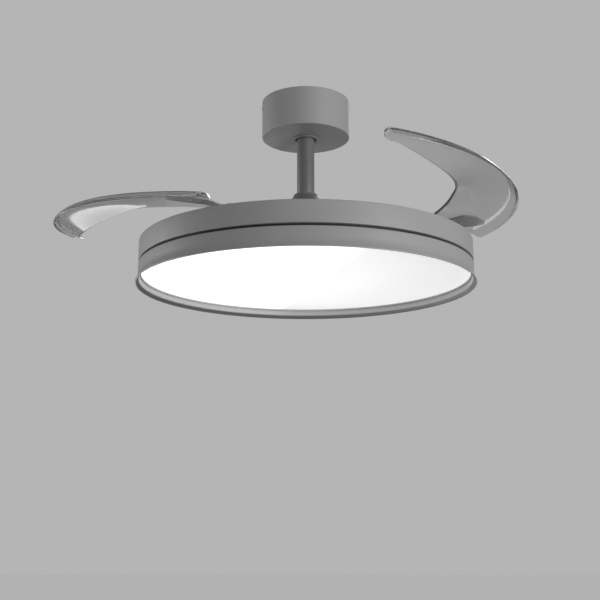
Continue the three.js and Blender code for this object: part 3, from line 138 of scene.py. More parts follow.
MOTOR_TOP = high("motor_top_cover")
MOTOR_BOTTOM = low("motor_top_cover")
MOTOR_RADIUS = 82
MOTOR_WALL = 3
MOTOR_BORE = 12.5
MOTOR_ROUNDING = 15
MOTOR_SHOULDER = 13
MOTOR_SHOULDER_WIDTH = 21
MOTOR_FLANGE = 97
FLANGE_THICKNESS = 2.5
CARRIER_THICKNESS = 2.5
CARRIER_TOP = low("carrier_plate") + CARRIER_THICKNESS
CARRIER_RADIUS = 217
CARRIER_EDGE = 0.2
STOP_TOP = high("carrier_plate")
STOP_RADIUS = 5
STOP_CIRCLE = 39  # from the pivot to a stop
STOP_EDGE = 0.8
LUG_HALF_WIDTH = 5  # of an arm's lug, which meets the stops
COVER_RADIUS = 157
COVER_THICKNESS = 1.2
COVER_EDGE = 0.5
COVER_OVER_GEAR = 0.5
CARRIER_SCREW_HEAD_RADIUS = 3.6
CARRIER_SCREW_HEAD = 2
CARRIER_SCREW_LENGTH = 8.7
POST_RADIUS = 4
POST_BASE_RADIUS = 6.5
POST_BASE = 0.6
POST_TOP = high("pivot_post_1")
POST_CHAMFER = 0.7
THREAD_PITCH = 0.7
THREAD_DEPTH = 0.3
THREAD_END = 0.9  # from the post's top to its last groove
PIVOT_NUT_RADIUS = 7.5
PIVOT_NUT_BOTTOM = low("pivot_nut_1")
PIVOT_NUT_TOP = high("pivot_nut_1")
BUSH_RADIUS = 6.3

MODULE = 3
PRESSURE = math.radians(20)
ARM_TEETH = 20
RING_TEETH = 102
GEAR_RATIO = ARM_TEETH / RING_TEETH
TOOTH_THINNING = 0.35
TOOTH_ADDENDUM = 0.9  # in modules
TOOTH_DEDENDUM = 1.25
FLANK_SHARES = (0, 0.25, 0.5, 0.75, 1)
BLANK_STEP = math.radians(2)
GEAR_BOTTOM = low("blade_arm_1")
GEAR_TOP = high("sync_ring")
GEAR_EDGE = 0.12

# -------- mesh helpers
ON_AXIS = 0.01  # an outline starts this far from the axis
NEAR_AXIS = 0.1
NO_LENGTH = 1e-6
SIDE_SHARE = 0.45  # the most of a side that one rounded corner takes
STRAIGHT = math.radians(170)
LAYER_OVERLAP = 0.05  # how far two parts of one piece sink into each other
CROSS_REACH = 0.52  # shares of a screw head's radius
CROSS_HALF_WIDTH = 0.13
CROSS_FLOOR = 0.45  # share of a screw head's height
CROSS_OVERLAP = 0.02
FINE_EDGE = 0.05
NUT_EDGE = 0.35
SMALL_EDGE = 0.2
SOFT_EDGE = 0.3


def make(name, parts, body, material, replaced=(), place=None, sharp=35):
    """One object from a list of (vertices in mm, faces), riding on a body."""
    vertices, faces = [], []
    for part_vertices, part_faces in parts:
        start = len(vertices)
        vertices += [tuple(v) for v in part_vertices]
        faces += [tuple(i + start for i in f) for f in part_faces]
    mesh = bpy.data.meshes.new(name)
    mesh.from_pydata(vertices, [], faces)
    mesh.validate()
    mesh.transform(Matrix.Scale(MM, 4))
    if place is not None:
        mesh.transform(place)
    return dress(bpy.data.objects.new(name, mesh), body, material, replaced, sharp)


def dress(piece, body, material, replaced=(), sharp=35):
    """Give a piece its material and body; edges past the angle in degrees stay sharp."""
    scene.collection.objects.link(piece)
    piece.data.materials.clear()
    piece.data.materials.append(material)
    piece.data.shade_smooth()
    piece.data.set_sharp_from_angle(angle=math.radians(sharp))
    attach(piece, body)
    if replaced:
        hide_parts(*replaced)
    return piece


def polar(radius, angle):
    return radius * math.cos(angle), radius * math.sin(angle)


def rounded(points, radius, steps):
    """A closed outline whose corners are replaced by arcs of up to this radius."""
    count = len(points)
    out = []
    for i in range(count):
        before, here, after = (Vector(points[j % count]) for j in (i - 1, i, i + 1))
        to_before, to_after = before - here, after - here
        if to_before.length < NO_LENGTH or to_after.length < NO_LENGTH:
            out.append(tuple(here))
            continue
        angle = to_before.angle(to_after)
        if angle > STRAIGHT:
            out.append(tuple(here))
            continue
        shorter = min(to_before.length, to_after.length)
        reach = min(radius / math.tan(angle / 2), SIDE_SHARE * shorter)
        start = here + to_before.normalized() * reach
        end = here + to_after.normalized() * reach
        for k in range(steps + 1):
            t = k / steps
            out.append(tuple(start * (1 - t) ** 2 + here * 2 * t * (1 - t) + end * t ** 2))
    return out


def corner_arcs(points, radius, steps, first, last):
    """The arcs that round the corners from first to last of an outline without straight corners."""
    return rounded(points, radius, steps)[first * (steps + 1):(last + 1) * (steps + 1)]


def eased(values, weights):
    """Values smoothed by these weights of their neighbours."""
    padded = np.pad(values, len(weights) // 2, "edge")
    return np.convolve(padded, np.array(weights) / sum(weights), "valid")


def signed_area(outline):
    return sum(a[0] * b[1] - b[0] * a[1] for a, b in zip(outline, outline[1:] + outline[:1])) / 2


def lathe(profile, steps):
    """A closed ring of a solid from a closed (radius, z) outline that keeps off the axis."""
    if signed_area(profile) < 0:
        profile = profile[::-1]
    size = len(profile)
    vertices = [(*polar(r, TAU * i / steps), z) for i in range(steps) for r, z in profile]
    faces = []
    for i in range(steps):
        j = (i + 1) % steps
        for k in range(size):
            m = (k + 1) % size
            faces.append((i * size + k, j * size + k, j * size + m, i * size + m))
    return vertices, faces


def cap_lathe(profile, steps):
    """A solid turned from an open outline whose first and last points lie on the axis."""
    inner = profile[1:-1]
    size = len(inner)
    vertices = [(*polar(r, TAU * i / steps), z) for i in range(steps) for r, z in inner]
    bottom, top = len(vertices), len(vertices) + 1
    vertices += [(0, 0, profile[0][1]), (0, 0, profile[-1][1])]
    faces = []
    for i in range(steps):
        j = (i + 1) % steps
        for k in range(size - 1):
            faces.append((i * size + k, j * size + k, j * size + k + 1, i * size + k + 1))
        faces.append((bottom, j * size, i * size))
        faces.append((top, i * size + size - 1, j * size + size - 1))
    return vertices, faces


def prism(outline, holes, bottom, top, bevel):
    """A flat plate with holes and slightly rounded edges, made from a filled curve."""
    curve = bpy.data.curves.new("outline", "CURVE")
    curve.dimensions = "2D"
    curve.fill_mode = "BOTH"
    for loop in (outline, *holes):
        spline = curve.splines.new("POLY")
        spline.points.add(len(loop) - 1)
        spline.points.foreach_set("co", [c for x, y in loop for c in (x, y, 0, 1)])
        spline.use_cyclic_u = True
    curve.extrude = (top - bottom) / 2 - bevel
    curve.bevel_depth = bevel
    curve.bevel_resolution = 1
    curve.offset = -bevel
    holder = bpy.data.objects.new("outline", curve)
    scene.collection.objects.link(holder)
    mesh = bpy.data.meshes.new_from_object(holder.evaluated_get(bpy.context.evaluated_depsgraph_get()))
    bpy.data.objects.remove(holder)
    level = (top + bottom) / 2
    vertices = [(v.co.x, v.co.y, v.co.z + level) for v in mesh.vertices]
    faces = [tuple(p.vertices) for p in mesh.polygons]
    bpy.data.meshes.remove(mesh)
    return vertices, faces


def circle(radius, steps):
    return [polar(radius, TAU * i / steps) for i in range(steps)]


def moved(part, matrix):
    vertices, faces = part
    return [tuple(matrix @ Vector(v)) for v in vertices], faces


def moved_all(parts, matrix):
    return [moved(part, matrix) for part in parts]


def sweep(path, radius, sides=12):
    """A round wire along a path, closed at both ends."""
    points = [Vector(p) for p in path]
    tangent = (points[1] - points[0]).normalized()
    normal = tangent.orthogonal().normalized()
    vertices, faces = [], []
    for i, point in enumerate(points):
        ahead = points[min(i + 1, len(points) - 1)] - points[max(i - 1, 0)]
        fresh = ahead.normalized()
        normal = (tangent.rotation_difference(fresh) @ normal).normalized()
        tangent = fresh
        other = tangent.cross(normal)
        for k in range(sides):
            angle = TAU * k / sides
            vertices.append(tuple(point + radius * (math.cos(angle) * normal + math.sin(angle) * other)))
    for i in range(len(points) - 1):
        for k in range(sides):
            m = (k + 1) % sides
            a, b = i * sides, (i + 1) * sides
            faces.append((a + k, a + m, b + m, b + k))
    faces.append(tuple(reversed(range(sides))))
    last = (len(points) - 1) * sides
    faces.append(tuple(last + k for k in range(sides)))
    return vertices, faces


def loft(loops):
    """A skin over loops of equally many points, closed at both ends."""
    size = len(loops[0])
    vertices = [p for loop in loops for p in loop]
    faces = []
    for i in range(len(loops) - 1):
        for k in range(size):
            a, b = i * size + k, i * size + (k + 1) % size
            faces.append((a, b, b + size, a + size))
    faces.append(tuple(reversed(range(size))))
    faces.append(tuple((len(loops) - 1) * size + k for k in range(size)))
    return vertices, faces


def ring(inner, outer, bottom, top, edge, steps=96):
    return lathe(rounded([(inner, bottom), (outer, bottom), (outer, top), (inner, top)], edge, 2), steps)


def disc(radius, bottom, top, edge, steps):
    body = rounded([(ON_AXIS, bottom), (radius, bottom), (radius, top), (ON_AXIS, top)], edge, 2)
    side = [p for p in body if p[0] > NEAR_AXIS]
    return cap_lathe([(0, bottom), *side, (0, top)], steps)


def hex_nut(bore, radius, bottom, top):
    return prism(circle(radius, 6), [circle(bore, 32)], bottom, top, NUT_EDGE)


def screw(head_radius, head_height, length, rim):
    """A pan head with a cross recess, its seat at z 0 and its crown up, over a plain shank."""
    arm, half = CROSS_REACH * head_radius, CROSS_HALF_WIDTH * head_radius
    floor = CROSS_FLOOR * head_height
    outline = circle(head_radius, 48)
    cross = []
    for x, y in ((1, 1), (-1, 1), (-1, -1), (1, -1)):
        corner = [(x * arm, y * half), (x * half, y * half), (x * half, y * arm)]
        cross += corner if x * y > 0 else corner[::-1]
    return [prism(outline, [], 0, floor, FINE_EDGE),
            prism(outline, [cross[::-1]], floor - CROSS_OVERLAP, head_height, rim),
            disc(SCREW_RADIUS, -length, 0, SMALL_EDGE, 32)]


# -------- materials
NOISE_LOW, NOISE_HIGH = 0.3, 0.7  # most of a noise's values lie between these
GLOSS_PER_PATCH = 5  # how many times finer the changes of gloss are than those of tone
GRAIN_DEPTH = 0.0003  # metres, as are the two below
OPAL_GRAIN_DEPTH = 0.0002
CLEAR_WAVE_DEPTH = 0.0005


def new_material(name, color, roughness, metallic=0.0):
    material = bpy.data.materials.new(name)
    material.use_nodes = True
    shader = material.node_tree.nodes["Principled BSDF"]
    shader.inputs["Base Color"].default_value = (*color, 1)
    shader.inputs["Roughness"].default_value = roughness
    shader.inputs["Metallic"].default_value = metallic
    return material, shader


def add_node(tree, kind, values=None, **settings):
    """A new node, with the given settings and input values."""
    node = tree.nodes.new("ShaderNode" + kind)
    for name, value in settings.items():
        setattr(node, name, value)
    for name, value in (values or {}).items():
        node.inputs[name].default_value = value
    return node


def join(tree, *pairs):
    """Link each pair of an output and an input."""
    for source, target in pairs:
        tree.links.new(source, target)


def noise_at(material, scale, detail, stretch=(1, 1, 1)):
    """The value of a noise over the piece's own coordinates."""
    tree = material.node_tree
    where = add_node(tree, "TexCoord")
    mapping = add_node(tree, "Mapping", {"Scale": stretch})
    noise = add_node(tree, "TexNoise", {"Scale": scale, "Detail": detail})
    join(tree, (where.outputs["Object"], mapping.inputs["Vector"]),
         (mapping.outputs["Vector"], noise.inputs["Vector"]))
    return noise.outputs["Fac"]


def vary_color(material, shader, value, dark, light):
    tree = material.node_tree
    ramp = add_node(tree, "ValToRGB")
    first, last = ramp.color_ramp.elements
    first.position, first.color = NOISE_LOW, (*dark, 1)
    last.position, last.color = NOISE_HIGH, (*light, 1)
    join(tree, (value, ramp.inputs["Fac"]), (ramp.outputs["Color"], shader.inputs["Base Color"]))


def vary_roughness(material, shader, value, smooth, rough):
    tree = material.node_tree
    spread = add_node(tree, "MapRange", {
        "From Min": NOISE_LOW, "From Max": NOISE_HIGH, "To Min": smooth, "To Max": rough})
    join(tree, (value, spread.inputs["Value"]), (spread.outputs["Result"], shader.inputs["Roughness"]))


def add_bump(material, shader, value, strength, distance):
    tree = material.node_tree
    bump = add_node(tree, "Bump", {"Strength": strength, "Distance": distance})
    join(tree, (value, bump.inputs["Height"]), (bump.outputs["Normal"], shader.inputs["Normal"]))


def surface(name, dark, light, roughness, metallic=0.0, grain=900, bump=0.06, patch=9, stretch=(1, 1, 1)):
    """A material with slow changes of tone, changes of gloss, and a fine grain."""
    material, shader = new_material(name, dark, roughness[0], metallic)
    vary_color(material, shader, noise_at(material, patch, 3), dark, light)
    vary_roughness(material, shader, noise_at(material, GLOSS_PER_PATCH * patch, 4, stretch), *roughness)
    add_bump(material, shader, noise_at(material, grain, 2, stretch), bump, GRAIN_DEPTH)
    return material


def grey(value, tint=0.0):
    """A grey whose blue is stronger by the tint."""
    return (value, value, value * (1 + tint))


PAINT = dict(dark=grey(0.318, 0.012), light=grey(0.342, 0.012), roughness=(0.46, 0.56), grain=1400, bump=0.1)
GREY_PAINT = surface("grey_powder_coat", **PAINT)
# This coat carries painted lamp light and painted shade inside the ring; both are added further down.
RING_COAT_WITH_PAINTED_LIGHT = surface("ring_coat_painted_lamp_light_and_shade", **PAINT)
# The downrod and coupling bell use the drum's grey coat made darker: painted shade for the light they lose
# between canopy and drum.
ROD_COAT_WITH_PAINTED_SHADE = surface("rod_coat_painted_shade", grey(0.15, 0.012), grey(0.17, 0.012), (0.42, 0.52),
                    grain=1400, bump=0.1)
# Near-black coat for the recess between the drum's band and its lower ring: painted shade in the gap.
GAP_SHADE_PAINT = surface("gap_coat_painted_shade", grey(0.022), grey(0.03), (0.6, 0.75), grain=1200, bump=0.08)
TRIM = surface("grommet_plastic", grey(0.2), grey(0.22), (0.4, 0.5), grain=1800, bump=0.05)
STEEL = surface("zinc_plated_steel", grey(0.46, 0.03), grey(0.56, 0.03), (0.3, 0.44), 1.0, 700, 0.05, 30)
SHEET = surface("zinc_plated_sheet", grey(0.43, 0.02), grey(0.5, 0.02), (0.38, 0.5), 0.9, 500, 0.04, 18)
ARM_COAT = surface("arm_grey_coat", grey(0.48, 0.01), grey(0.52, 0.01), (0.4, 0.52), 0.0, 900, 0.06, 30)
WIRE = surface("spring_steel", grey(0.3, 0.02), grey(0.38, 0.02), (0.25, 0.36), 1.0, 900, 0.04, 60)
BRONZE = surface("sintered_bronze", (0.42, 0.26, 0.11), (0.5, 0.32, 0.14), (0.38, 0.5), 1.0, 2500, 0.12, 60)
COPPER = surface("enamelled_copper", (0.5, 0.2, 0.08), (0.6, 0.27, 0.12), (0.25, 0.35), 0.9, 1500, 0.2, 40,
                 (1, 1, 8))
MAGNET = surface("coated_magnet", grey(0.05), grey(0.075), (0.35, 0.5), 0.4, 1200, 0.06)
BLACK = surface("black_nylon", grey(0.018), grey(0.026), (0.45, 0.6), grain=1000, bump=0.08)
WHITE = surface("white_housing_plastic", (0.66, 0.66, 0.64), (0.72, 0.72, 0.7), (0.4, 0.5),
                grain=1500, bump=0.08)
BOARD = surface("white_solder_mask", (0.72, 0.73, 0.7), (0.78, 0.79, 0.76), (0.25, 0.35),
                grain=2000, bump=0.03)

# Painted light and shade inside the lower ring: the inner wall beside the lamp is painted pale for the
# diffuser's light, and the flare below it is painted dark for its shade.
PAINTED_SHADE_TO = 4  # above the lip's bottom
PAINTED_LIGHT_FROM = 6.5
FLARE_PAINTED_SHADE_GREY = 0.1
WALL_PAINTED_LIGHT_GREY = 0.5


def paint_lamp_light_and_shade_in_ring():
    """Inside the lower ring, painted lamp light makes the coat pale next to the lamp, and painted shade
    makes it dark on the flare below it.
    """
    tree = RING_COAT_WITH_PAINTED_LIGHT.node_tree
    color = tree.nodes["Principled BSDF"].inputs["Base Color"]
    where = add_node(tree, "TexCoord")
    split = add_node(tree, "SeparateXYZ")
    level = add_node(tree, "CombineXYZ")
    facing = add_node(tree, "VectorMath", operation="DOT_PRODUCT")
    inside = add_node(tree, "Math", {1: 0}, operation="LESS_THAN")
    height = add_node(tree, "MapRange", {
        "From Min": (LIP_BOTTOM + PAINTED_SHADE_TO) * MM, "From Max": (LIP_BOTTOM + PAINTED_LIGHT_FROM) * MM,
        "To Min": FLARE_PAINTED_SHADE_GREY, "To Max": WALL_PAINTED_LIGHT_GREY}, interpolation_type="SMOOTHSTEP")
    tone = add_node(tree, "Mix", data_type="RGBA")
    join(tree, (where.outputs["Object"], split.inputs["Vector"]),
         (split.outputs["X"], level.inputs["X"]), (split.outputs["Y"], level.inputs["Y"]),
         (level.outputs["Vector"], facing.inputs[0]), (where.outputs["Normal"], facing.inputs[1]),
         (facing.outputs["Value"], inside.inputs[0]), (split.outputs["Z"], height.inputs["Value"]),
         (inside.outputs["Value"], tone.inputs["Factor"]), (color.links[0].from_socket, tone.inputs["A"]),
         (height.outputs["Result"], tone.inputs["B"]), (tone.outputs["Result"], color))


paint_lamp_light_and_shade_in_ring()

OPAL_GREY = 0.5
OPAL_ROUGHNESS = (0.38, 0.46)
GLOW_SLANT = -0.285  # how far the edge of the dimmer part moves in X for one step in Y
GLOW_EDGE = 0.0255  # where that edge crosses Y 0, in metres
GLOW_BLUR = 0.01  # metres to either side
GLOW_LEFT = 0.95
GLOW_RIGHT = 0.67


def opal_material():
    """The lit diffuser: an even glow, with a slightly dimmer part behind a soft slanting line."""
    material, shader = new_material("opal_diffuser", grey(OPAL_GREY), sum(OPAL_ROUGHNESS) / 2)
    vary_roughness(material, shader, noise_at(material, 60, 3), *OPAL_ROUGHNESS)
    add_bump(material, shader, noise_at(material, 1500, 2), 0.03, OPAL_GRAIN_DEPTH)
    tree = material.node_tree
    where = add_node(tree, "TexCoord")
    split = add_node(tree, "SeparateXYZ")
    slant = add_node(tree, "Math", {1: -GLOW_SLANT}, operation="MULTIPLY_ADD")
    glow = add_node(tree, "MapRange", {
        "From Min": GLOW_EDGE - GLOW_BLUR, "From Max": GLOW_EDGE + GLOW_BLUR,
        "To Min": GLOW_LEFT, "To Max": GLOW_RIGHT}, interpolation_type="SMOOTHSTEP")
    shader.inputs["Emission Color"].default_value = (1, 1, 1, 1)
    join(tree, (where.outputs["Object"], split.inputs["Vector"]), (split.outputs["Y"], slant.inputs[0]),
         (split.outputs["X"], slant.inputs[2]), (slant.outputs["Value"], glow.inputs["Value"]),
         (glow.outputs["Result"], shader.inputs["Emission Strength"]))
    return material


def clear_material():
    """Clear acrylic with a faint wave in its surface."""
    material, shader = new_material("clear_acrylic", (0.7, 0.705, 0.71), 0.03)
    shader.inputs["Transmission Weight"].default_value = 0.93
    shader.inputs["IOR"].default_value = 1.4
    vary_roughness(material, shader, noise_at(material, 12, 3), 0.07, 0.12)
    add_bump(material, shader, noise_at(material, 30, 2), 0.05, CLEAR_WAVE_DEPTH)
    return material


DIFFUSER = opal_material()
CLEAR = clear_material()

CAD_LOOKS = {
    STEEL: ["ceiling_bracket", "cross_pin", "coupling_yoke", "coupling_pin", "set_screw", "motor_shaft",
            "shaft_nut", "rim_screw_1", "rim_screw_2", "rim_screw_3", "upper_bearing", "lower_bearing"],
    GREY_PAINT: ["motor_bottom_cover"],
    BLACK: ["hanger_ball"],
    WHITE: ["remote_receiver", "terminal_block", "led_driver"],
    COPPER: ["stator_windings"],
    MAGNET: ["stator_core", "magnet_ring"],
    BOARD: ["led_board"],
    BRONZE: ["pivot_bush_1", "pivot_bush_2", "pivot_bush_3"],
}


def paint_cad_nodes():
    for material, names in CAD_LOOKS.items():
        for name in names:
            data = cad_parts[name].data
            data.materials.clear()
            data.materials.append(material)


paint_cad_nodes()


# -------- ceiling set
def add_canopy():
    inside = CANOPY_RADIUS - CANOPY_WALL
    floor_top = CANOPY_BOTTOM + CANOPY_WALL
    box = [(0, CANOPY_BOTTOM), (CANOPY_RADIUS, CANOPY_BOTTOM), (CANOPY_RADIUS, 0), (0, 0)]
    outline = [(CANOPY_HOLE, CANOPY_BOTTOM), *corner_arcs(box, CANOPY_CORNER, 6, 1, 1),
               (CANOPY_RADIUS, -CANOPY_EDGE), (CANOPY_RADIUS - CANOPY_EDGE, 0), (inside, 0),
               (inside, CANOPY_BOTTOM + CANOPY_CORNER), (CANOPY_RADIUS - CANOPY_CORNER, floor_top),
               (CANOPY_HOLE, floor_top)]
    make("canopy_shell", [lathe(outline, 192)], "ceiling_set", GREY_PAINT, ["canopy"])


def add_grommet():
    under = CANOPY_BOTTOM - SEAT
    over = CANOPY_BOTTOM + CANOPY_WALL + SEAT
    outline = rounded([
        (GROMMET_BORE, under - GROMMET_LIP), (GROMMET_RADIUS, under - GROMMET_LIP), (GROMMET_RADIUS, under),
        (GROMMET_WAIST, under), (GROMMET_WAIST, over), (GROMMET_RADIUS, over),
        (GROMMET_RADIUS, over + GROMMET_CLIP), (GROMMET_BORE, over + GROMMET_CLIP)], GROMMET_CHAMFER, 4)
    make("canopy_collar", [lathe(outline, 128)], "ceiling_set", TRIM, ["canopy_grommet"])


def add_canopy_screw(side, label):
    at_wall = Matrix.Translation((side * (CANOPY_RADIUS + SEAT), 0, -CANOPY_SCREW_DEPTH))
    outward = Matrix.Rotation(side * math.pi / 2, 4, "Y")
    parts = screw(CANOPY_SCREW_HEAD_RADIUS, CANOPY_SCREW_HEAD, CANOPY_SCREW_LENGTH, CANOPY_SCREW_RIM)
    make(f"canopy_screw_{label}_head", moved_all(parts, at_wall @ outward), "ceiling_set", STEEL,
         [f"canopy_screw_{label}"])


add_canopy()
add_grommet()
add_canopy_screw(-1, "left")
add_canopy_screw(1, "right")


# -------- hanging set
def add_downrod():
    tube = ring(ROD_RADIUS - ROD_WALL, ROD_RADIUS, low("downrod"), high("downrod"), SOFT_EDGE)
    make("downrod_tube", [tube], "hanging_set", ROD_COAT_WITH_PAINTED_SHADE, ["downrod"])


def bell_curve(neck):
    """The bell's outside, from its skirt to its neck."""
    rises = np.array([z for _, z in BELL_PROFILE])
    spreads = np.array([r for r, _ in BELL_PROFILE])
    dense = np.linspace(0, 1, BELL_STEPS)
    smooth = eased(np.interp(dense, rises, spreads), BELL_EASE)
    height = BELL_TOP - BELL_BOTTOM
    return [(neck + s * (BELL_RADIUS - neck), BELL_BOTTOM + z * height) for s, z in zip(smooth, dense)]


def add_bell():
    bore = ROD_RADIUS + FIT
    yoke_bore = radius_of("coupling_yoke") + FIT
    shelf = high("coupling_yoke") + FIT
    outside = bell_curve(bore + BELL_NECK_WALL)
    hollow = [(r - BELL_WALL, z - BELL_WALL) for r, z in reversed(outside[1:BELL_HOLLOW_STEPS])]
    inside = [(bore, BELL_TOP), (bore, shelf), (yoke_bore, shelf), (yoke_bore, BELL_ROOF), *hollow,
              (BELL_RADIUS - BELL_WALL, BELL_BOTTOM)]
    make("coupling_bell", [lathe([*outside, *inside], 128)], "hanging_set", ROD_COAT_WITH_PAINTED_SHADE,
         ["coupling_cover"])


def add_drum_pan():
    inside = DRUM_RADIUS - DRUM_WALL
    outline = [(RIM_INNER, BAND_BOTTOM), (DRUM_RADIUS, BAND_BOTTOM), (DRUM_RADIUS, DRUM_TOP),
               (DRUM_MOUTH, DRUM_TOP), (DRUM_MOUTH, DRUM_TOP - DRUM_WALL), (inside, DRUM_TOP - DRUM_WALL),
               (inside, BAND_BOTTOM + DRUM_WALL), (RIM_INNER, BAND_BOTTOM + DRUM_WALL)]
    pan = lathe(rounded(outline, DRUM_CORNER, 6), ROUND)
    make("drum_pan", [pan], "hanging_set", GREY_PAINT, ["lamp_housing"])


def add_shadow_line():
    # The plate and the spacer are coated near-black, which paints the shade inside the recess.
    plate = ring(BASE_BORE, GAP_RADIUS, BASE_BOTTOM, BAND_BOTTOM - SEAT, SOFT_EDGE, ROUND)
    make("drum_floor_plate", [plate], "hanging_set", GAP_SHADE_PAINT, ["base_plate"])
    spacer = ring(RIM_INNER, GAP_RADIUS, RING_TOP + SEAT, BASE_BOTTOM - SEAT, SOFT_EDGE, ROUND)
    make("drum_gap_ring", [spacer], "hanging_set", GAP_SHADE_PAINT, ["spacer_ring"])


def lip_outline(wall_in):
    """The flared lip from its outside over its rounded bottom to its inside."""
    flare = LIP_OUTER - DRUM_RADIUS
    round_top = LIP_BOTTOM + LIP_ROUND_SHARE * LIP_HEIGHT
    outside_rise = (LIP_OUTSIDE_RISE - LIP_ROUND_SHARE) * LIP_HEIGHT
    inside_rise = (1 - LIP_ROUND_SHARE) * LIP_HEIGHT
    points = []
    for i in range(LIP_OUTSIDE_STEPS, -1, -1):
        t = i / LIP_OUTSIDE_STEPS
        points.append((DRUM_RADIUS + flare * (1 - t) ** LIP_OUTSIDE_CURVE, round_top + outside_rise * t))
    for i in range(LIP_STEPS - 1, 0, -1):
        turn = math.pi * i / LIP_STEPS
        points.append((LIP_OUTER - RING_WALL / 2 * (1 + math.cos(turn)),
                       round_top - LIP_ROUND_SHARE * LIP_HEIGHT * math.sin(turn)))
    for i in range(LIP_STEPS, -1, -1):
        t = i / LIP_STEPS
        points.append((wall_in + flare * t ** LIP_INSIDE_CURVE, round_top + inside_rise * (1 - t)))
    return points


def add_lower_ring():
    """The lower band with its lip, the ledge under the diffuser and the flange that holds it up."""
    wall_in = DRUM_RADIUS - RING_WALL
    flange = RING_TOP - DRUM_WALL
    ledge_top = DIFFUSER_BOTTOM - FIT
    slope_guide = (wall_in, RING_TOP - SLOPE_GUIDE_DROP)
    band_guide = (DRUM_RADIUS, RING_TOP - BAND_GUIDE_DROP)
    upper = corner_arcs([slope_guide, (RIM_INNER, flange), (RIM_INNER, RING_TOP), (DRUM_RADIUS, RING_TOP),
                         band_guide], RING_CORNER, 4, 1, 3)
    ledge = [(wall_in, ledge_top - LEDGE_THICKNESS), (wall_in - LEDGE_WIDTH, ledge_top - LEDGE_THICKNESS),
             (wall_in - LEDGE_WIDTH, ledge_top), (wall_in, ledge_top)]
    outline = [*upper, *lip_outline(wall_in), *ledge, (wall_in, flange)]
    make("drum_lip_ring", [lathe(outline, ROUND)], "hanging_set", RING_COAT_WITH_PAINTED_LIGHT, ["lower_ring"])


def add_diffuser():
    plate = disc(DRUM_RADIUS - RING_WALL - FIT, DIFFUSER_BOTTOM, DIFFUSER_TOP, DIFFUSER_EDGE, 256)
    make("opal_plate", [plate], "hanging_set", DIFFUSER, ["diffuser"])


add_downrod()
add_bell()
add_drum_pan()
add_shadow_line()
add_lower_ring()
add_diffuser()

# -------- rotor
turn_rotor = Matrix.Rotation(ROTOR_ANGLE, 4, "Z")


def add_motor_cap():
    inside = MOTOR_RADIUS - MOTOR_WALL
    flange_bottom = CARRIER_TOP + SEAT
    flange_top = flange_bottom + FLANGE_THICKNESS
    box = [(0, MOTOR_TOP), (MOTOR_RADIUS, MOTOR_TOP), (MOTOR_RADIUS, MOTOR_BOTTOM)]
    outline = [(MOTOR_BORE, MOTOR_TOP), *corner_arcs(box, MOTOR_ROUNDING, 10, 1, 1),
               (MOTOR_RADIUS, flange_top), (MOTOR_FLANGE, flange_top), (MOTOR_FLANGE, flange_bottom),
               (MOTOR_RADIUS, flange_bottom), (MOTOR_RADIUS, MOTOR_BOTTOM), (inside, MOTOR_BOTTOM),
               (inside, MOTOR_TOP - MOTOR_SHOULDER),
               (inside - MOTOR_SHOULDER_WIDTH, MOTOR_TOP - MOTOR_WALL), (MOTOR_BORE, MOTOR_TOP - MOTOR_WALL)]
    make("motor_cap", [lathe(outline, 160)], "rotor", GREY_PAINT, ["motor_top_cover"])


def add_carrier():
    """The blade carrier with the two stops of each blade's travel."""
    parts = [prism(circle(CARRIER_RADIUS, 256), [circle(MOTOR_RADIUS + FIT, 128)],
                   CARRIER_TOP - CARRIER_THICKNESS, CARRIER_TOP, CARRIER_EDGE)]
    stop_angle = TRAVEL / 2 + math.asin((LUG_HALF_WIDTH + STOP_RADIUS + 2 * FIT) / STOP_CIRCLE)
    stop = disc(STOP_RADIUS, CARRIER_TOP - LAYER_OVERLAP, STOP_TOP, STOP_EDGE, 40)
    for k in range(BLADES):
        at_pivot = Matrix.Rotation(k * TAU / BLADES, 4, "Z") @ Matrix.Translation((PIVOT_RADIUS, 0, 0))
        for angle in (-stop_angle, stop_angle):
            parts.append(moved(stop, at_pivot @ Matrix.Translation((*polar(STOP_CIRCLE, angle), 0))))
    make("carrier_disc", parts, "rotor", SHEET, ["carrier_plate"], turn_rotor)


def add_gear_cover():
    bore = MOTOR_RADIUS + FIT
    hub_bottom = CARRIER_TOP + FLANGE_THICKNESS + 2 * SEAT
    hub_top = hub_bottom + COVER_THICKNESS
    rim_bottom = GEAR_TOP + COVER_OVER_GEAR
    rim_top = rim_bottom + COVER_THICKNESS
    riser = MOTOR_FLANGE - COVER_THICKNESS
    riser_inside = riser - COVER_THICKNESS
    outline = rounded([
        (bore, hub_bottom), (riser, hub_bottom), (riser, rim_bottom), (COVER_RADIUS, rim_bottom),
        (COVER_RADIUS, rim_top), (riser_inside, rim_top), (riser_inside, hub_top), (bore, hub_top)],
        COVER_EDGE, 3)
    make("gear_shroud", [lathe(outline, 224)], "rotor", GREY_PAINT, ["gear_cover"])


def add_carrier_screw(k, spot):
    level = CARRIER_TOP + FLANGE_THICKNESS + COVER_THICKNESS + 3 * SEAT
    at_seat = Matrix.Translation(((MOTOR_RADIUS + MOTOR_FLANGE) / 2, 0, level))
    parts = screw(CARRIER_SCREW_HEAD_RADIUS, CARRIER_SCREW_HEAD, CARRIER_SCREW_LENGTH, SOFT_EDGE)
    make(f"carrier_screw_head_{k}", moved_all(parts, at_seat), "rotor", STEEL,
         [f"carrier_screw_{k}"], spot)


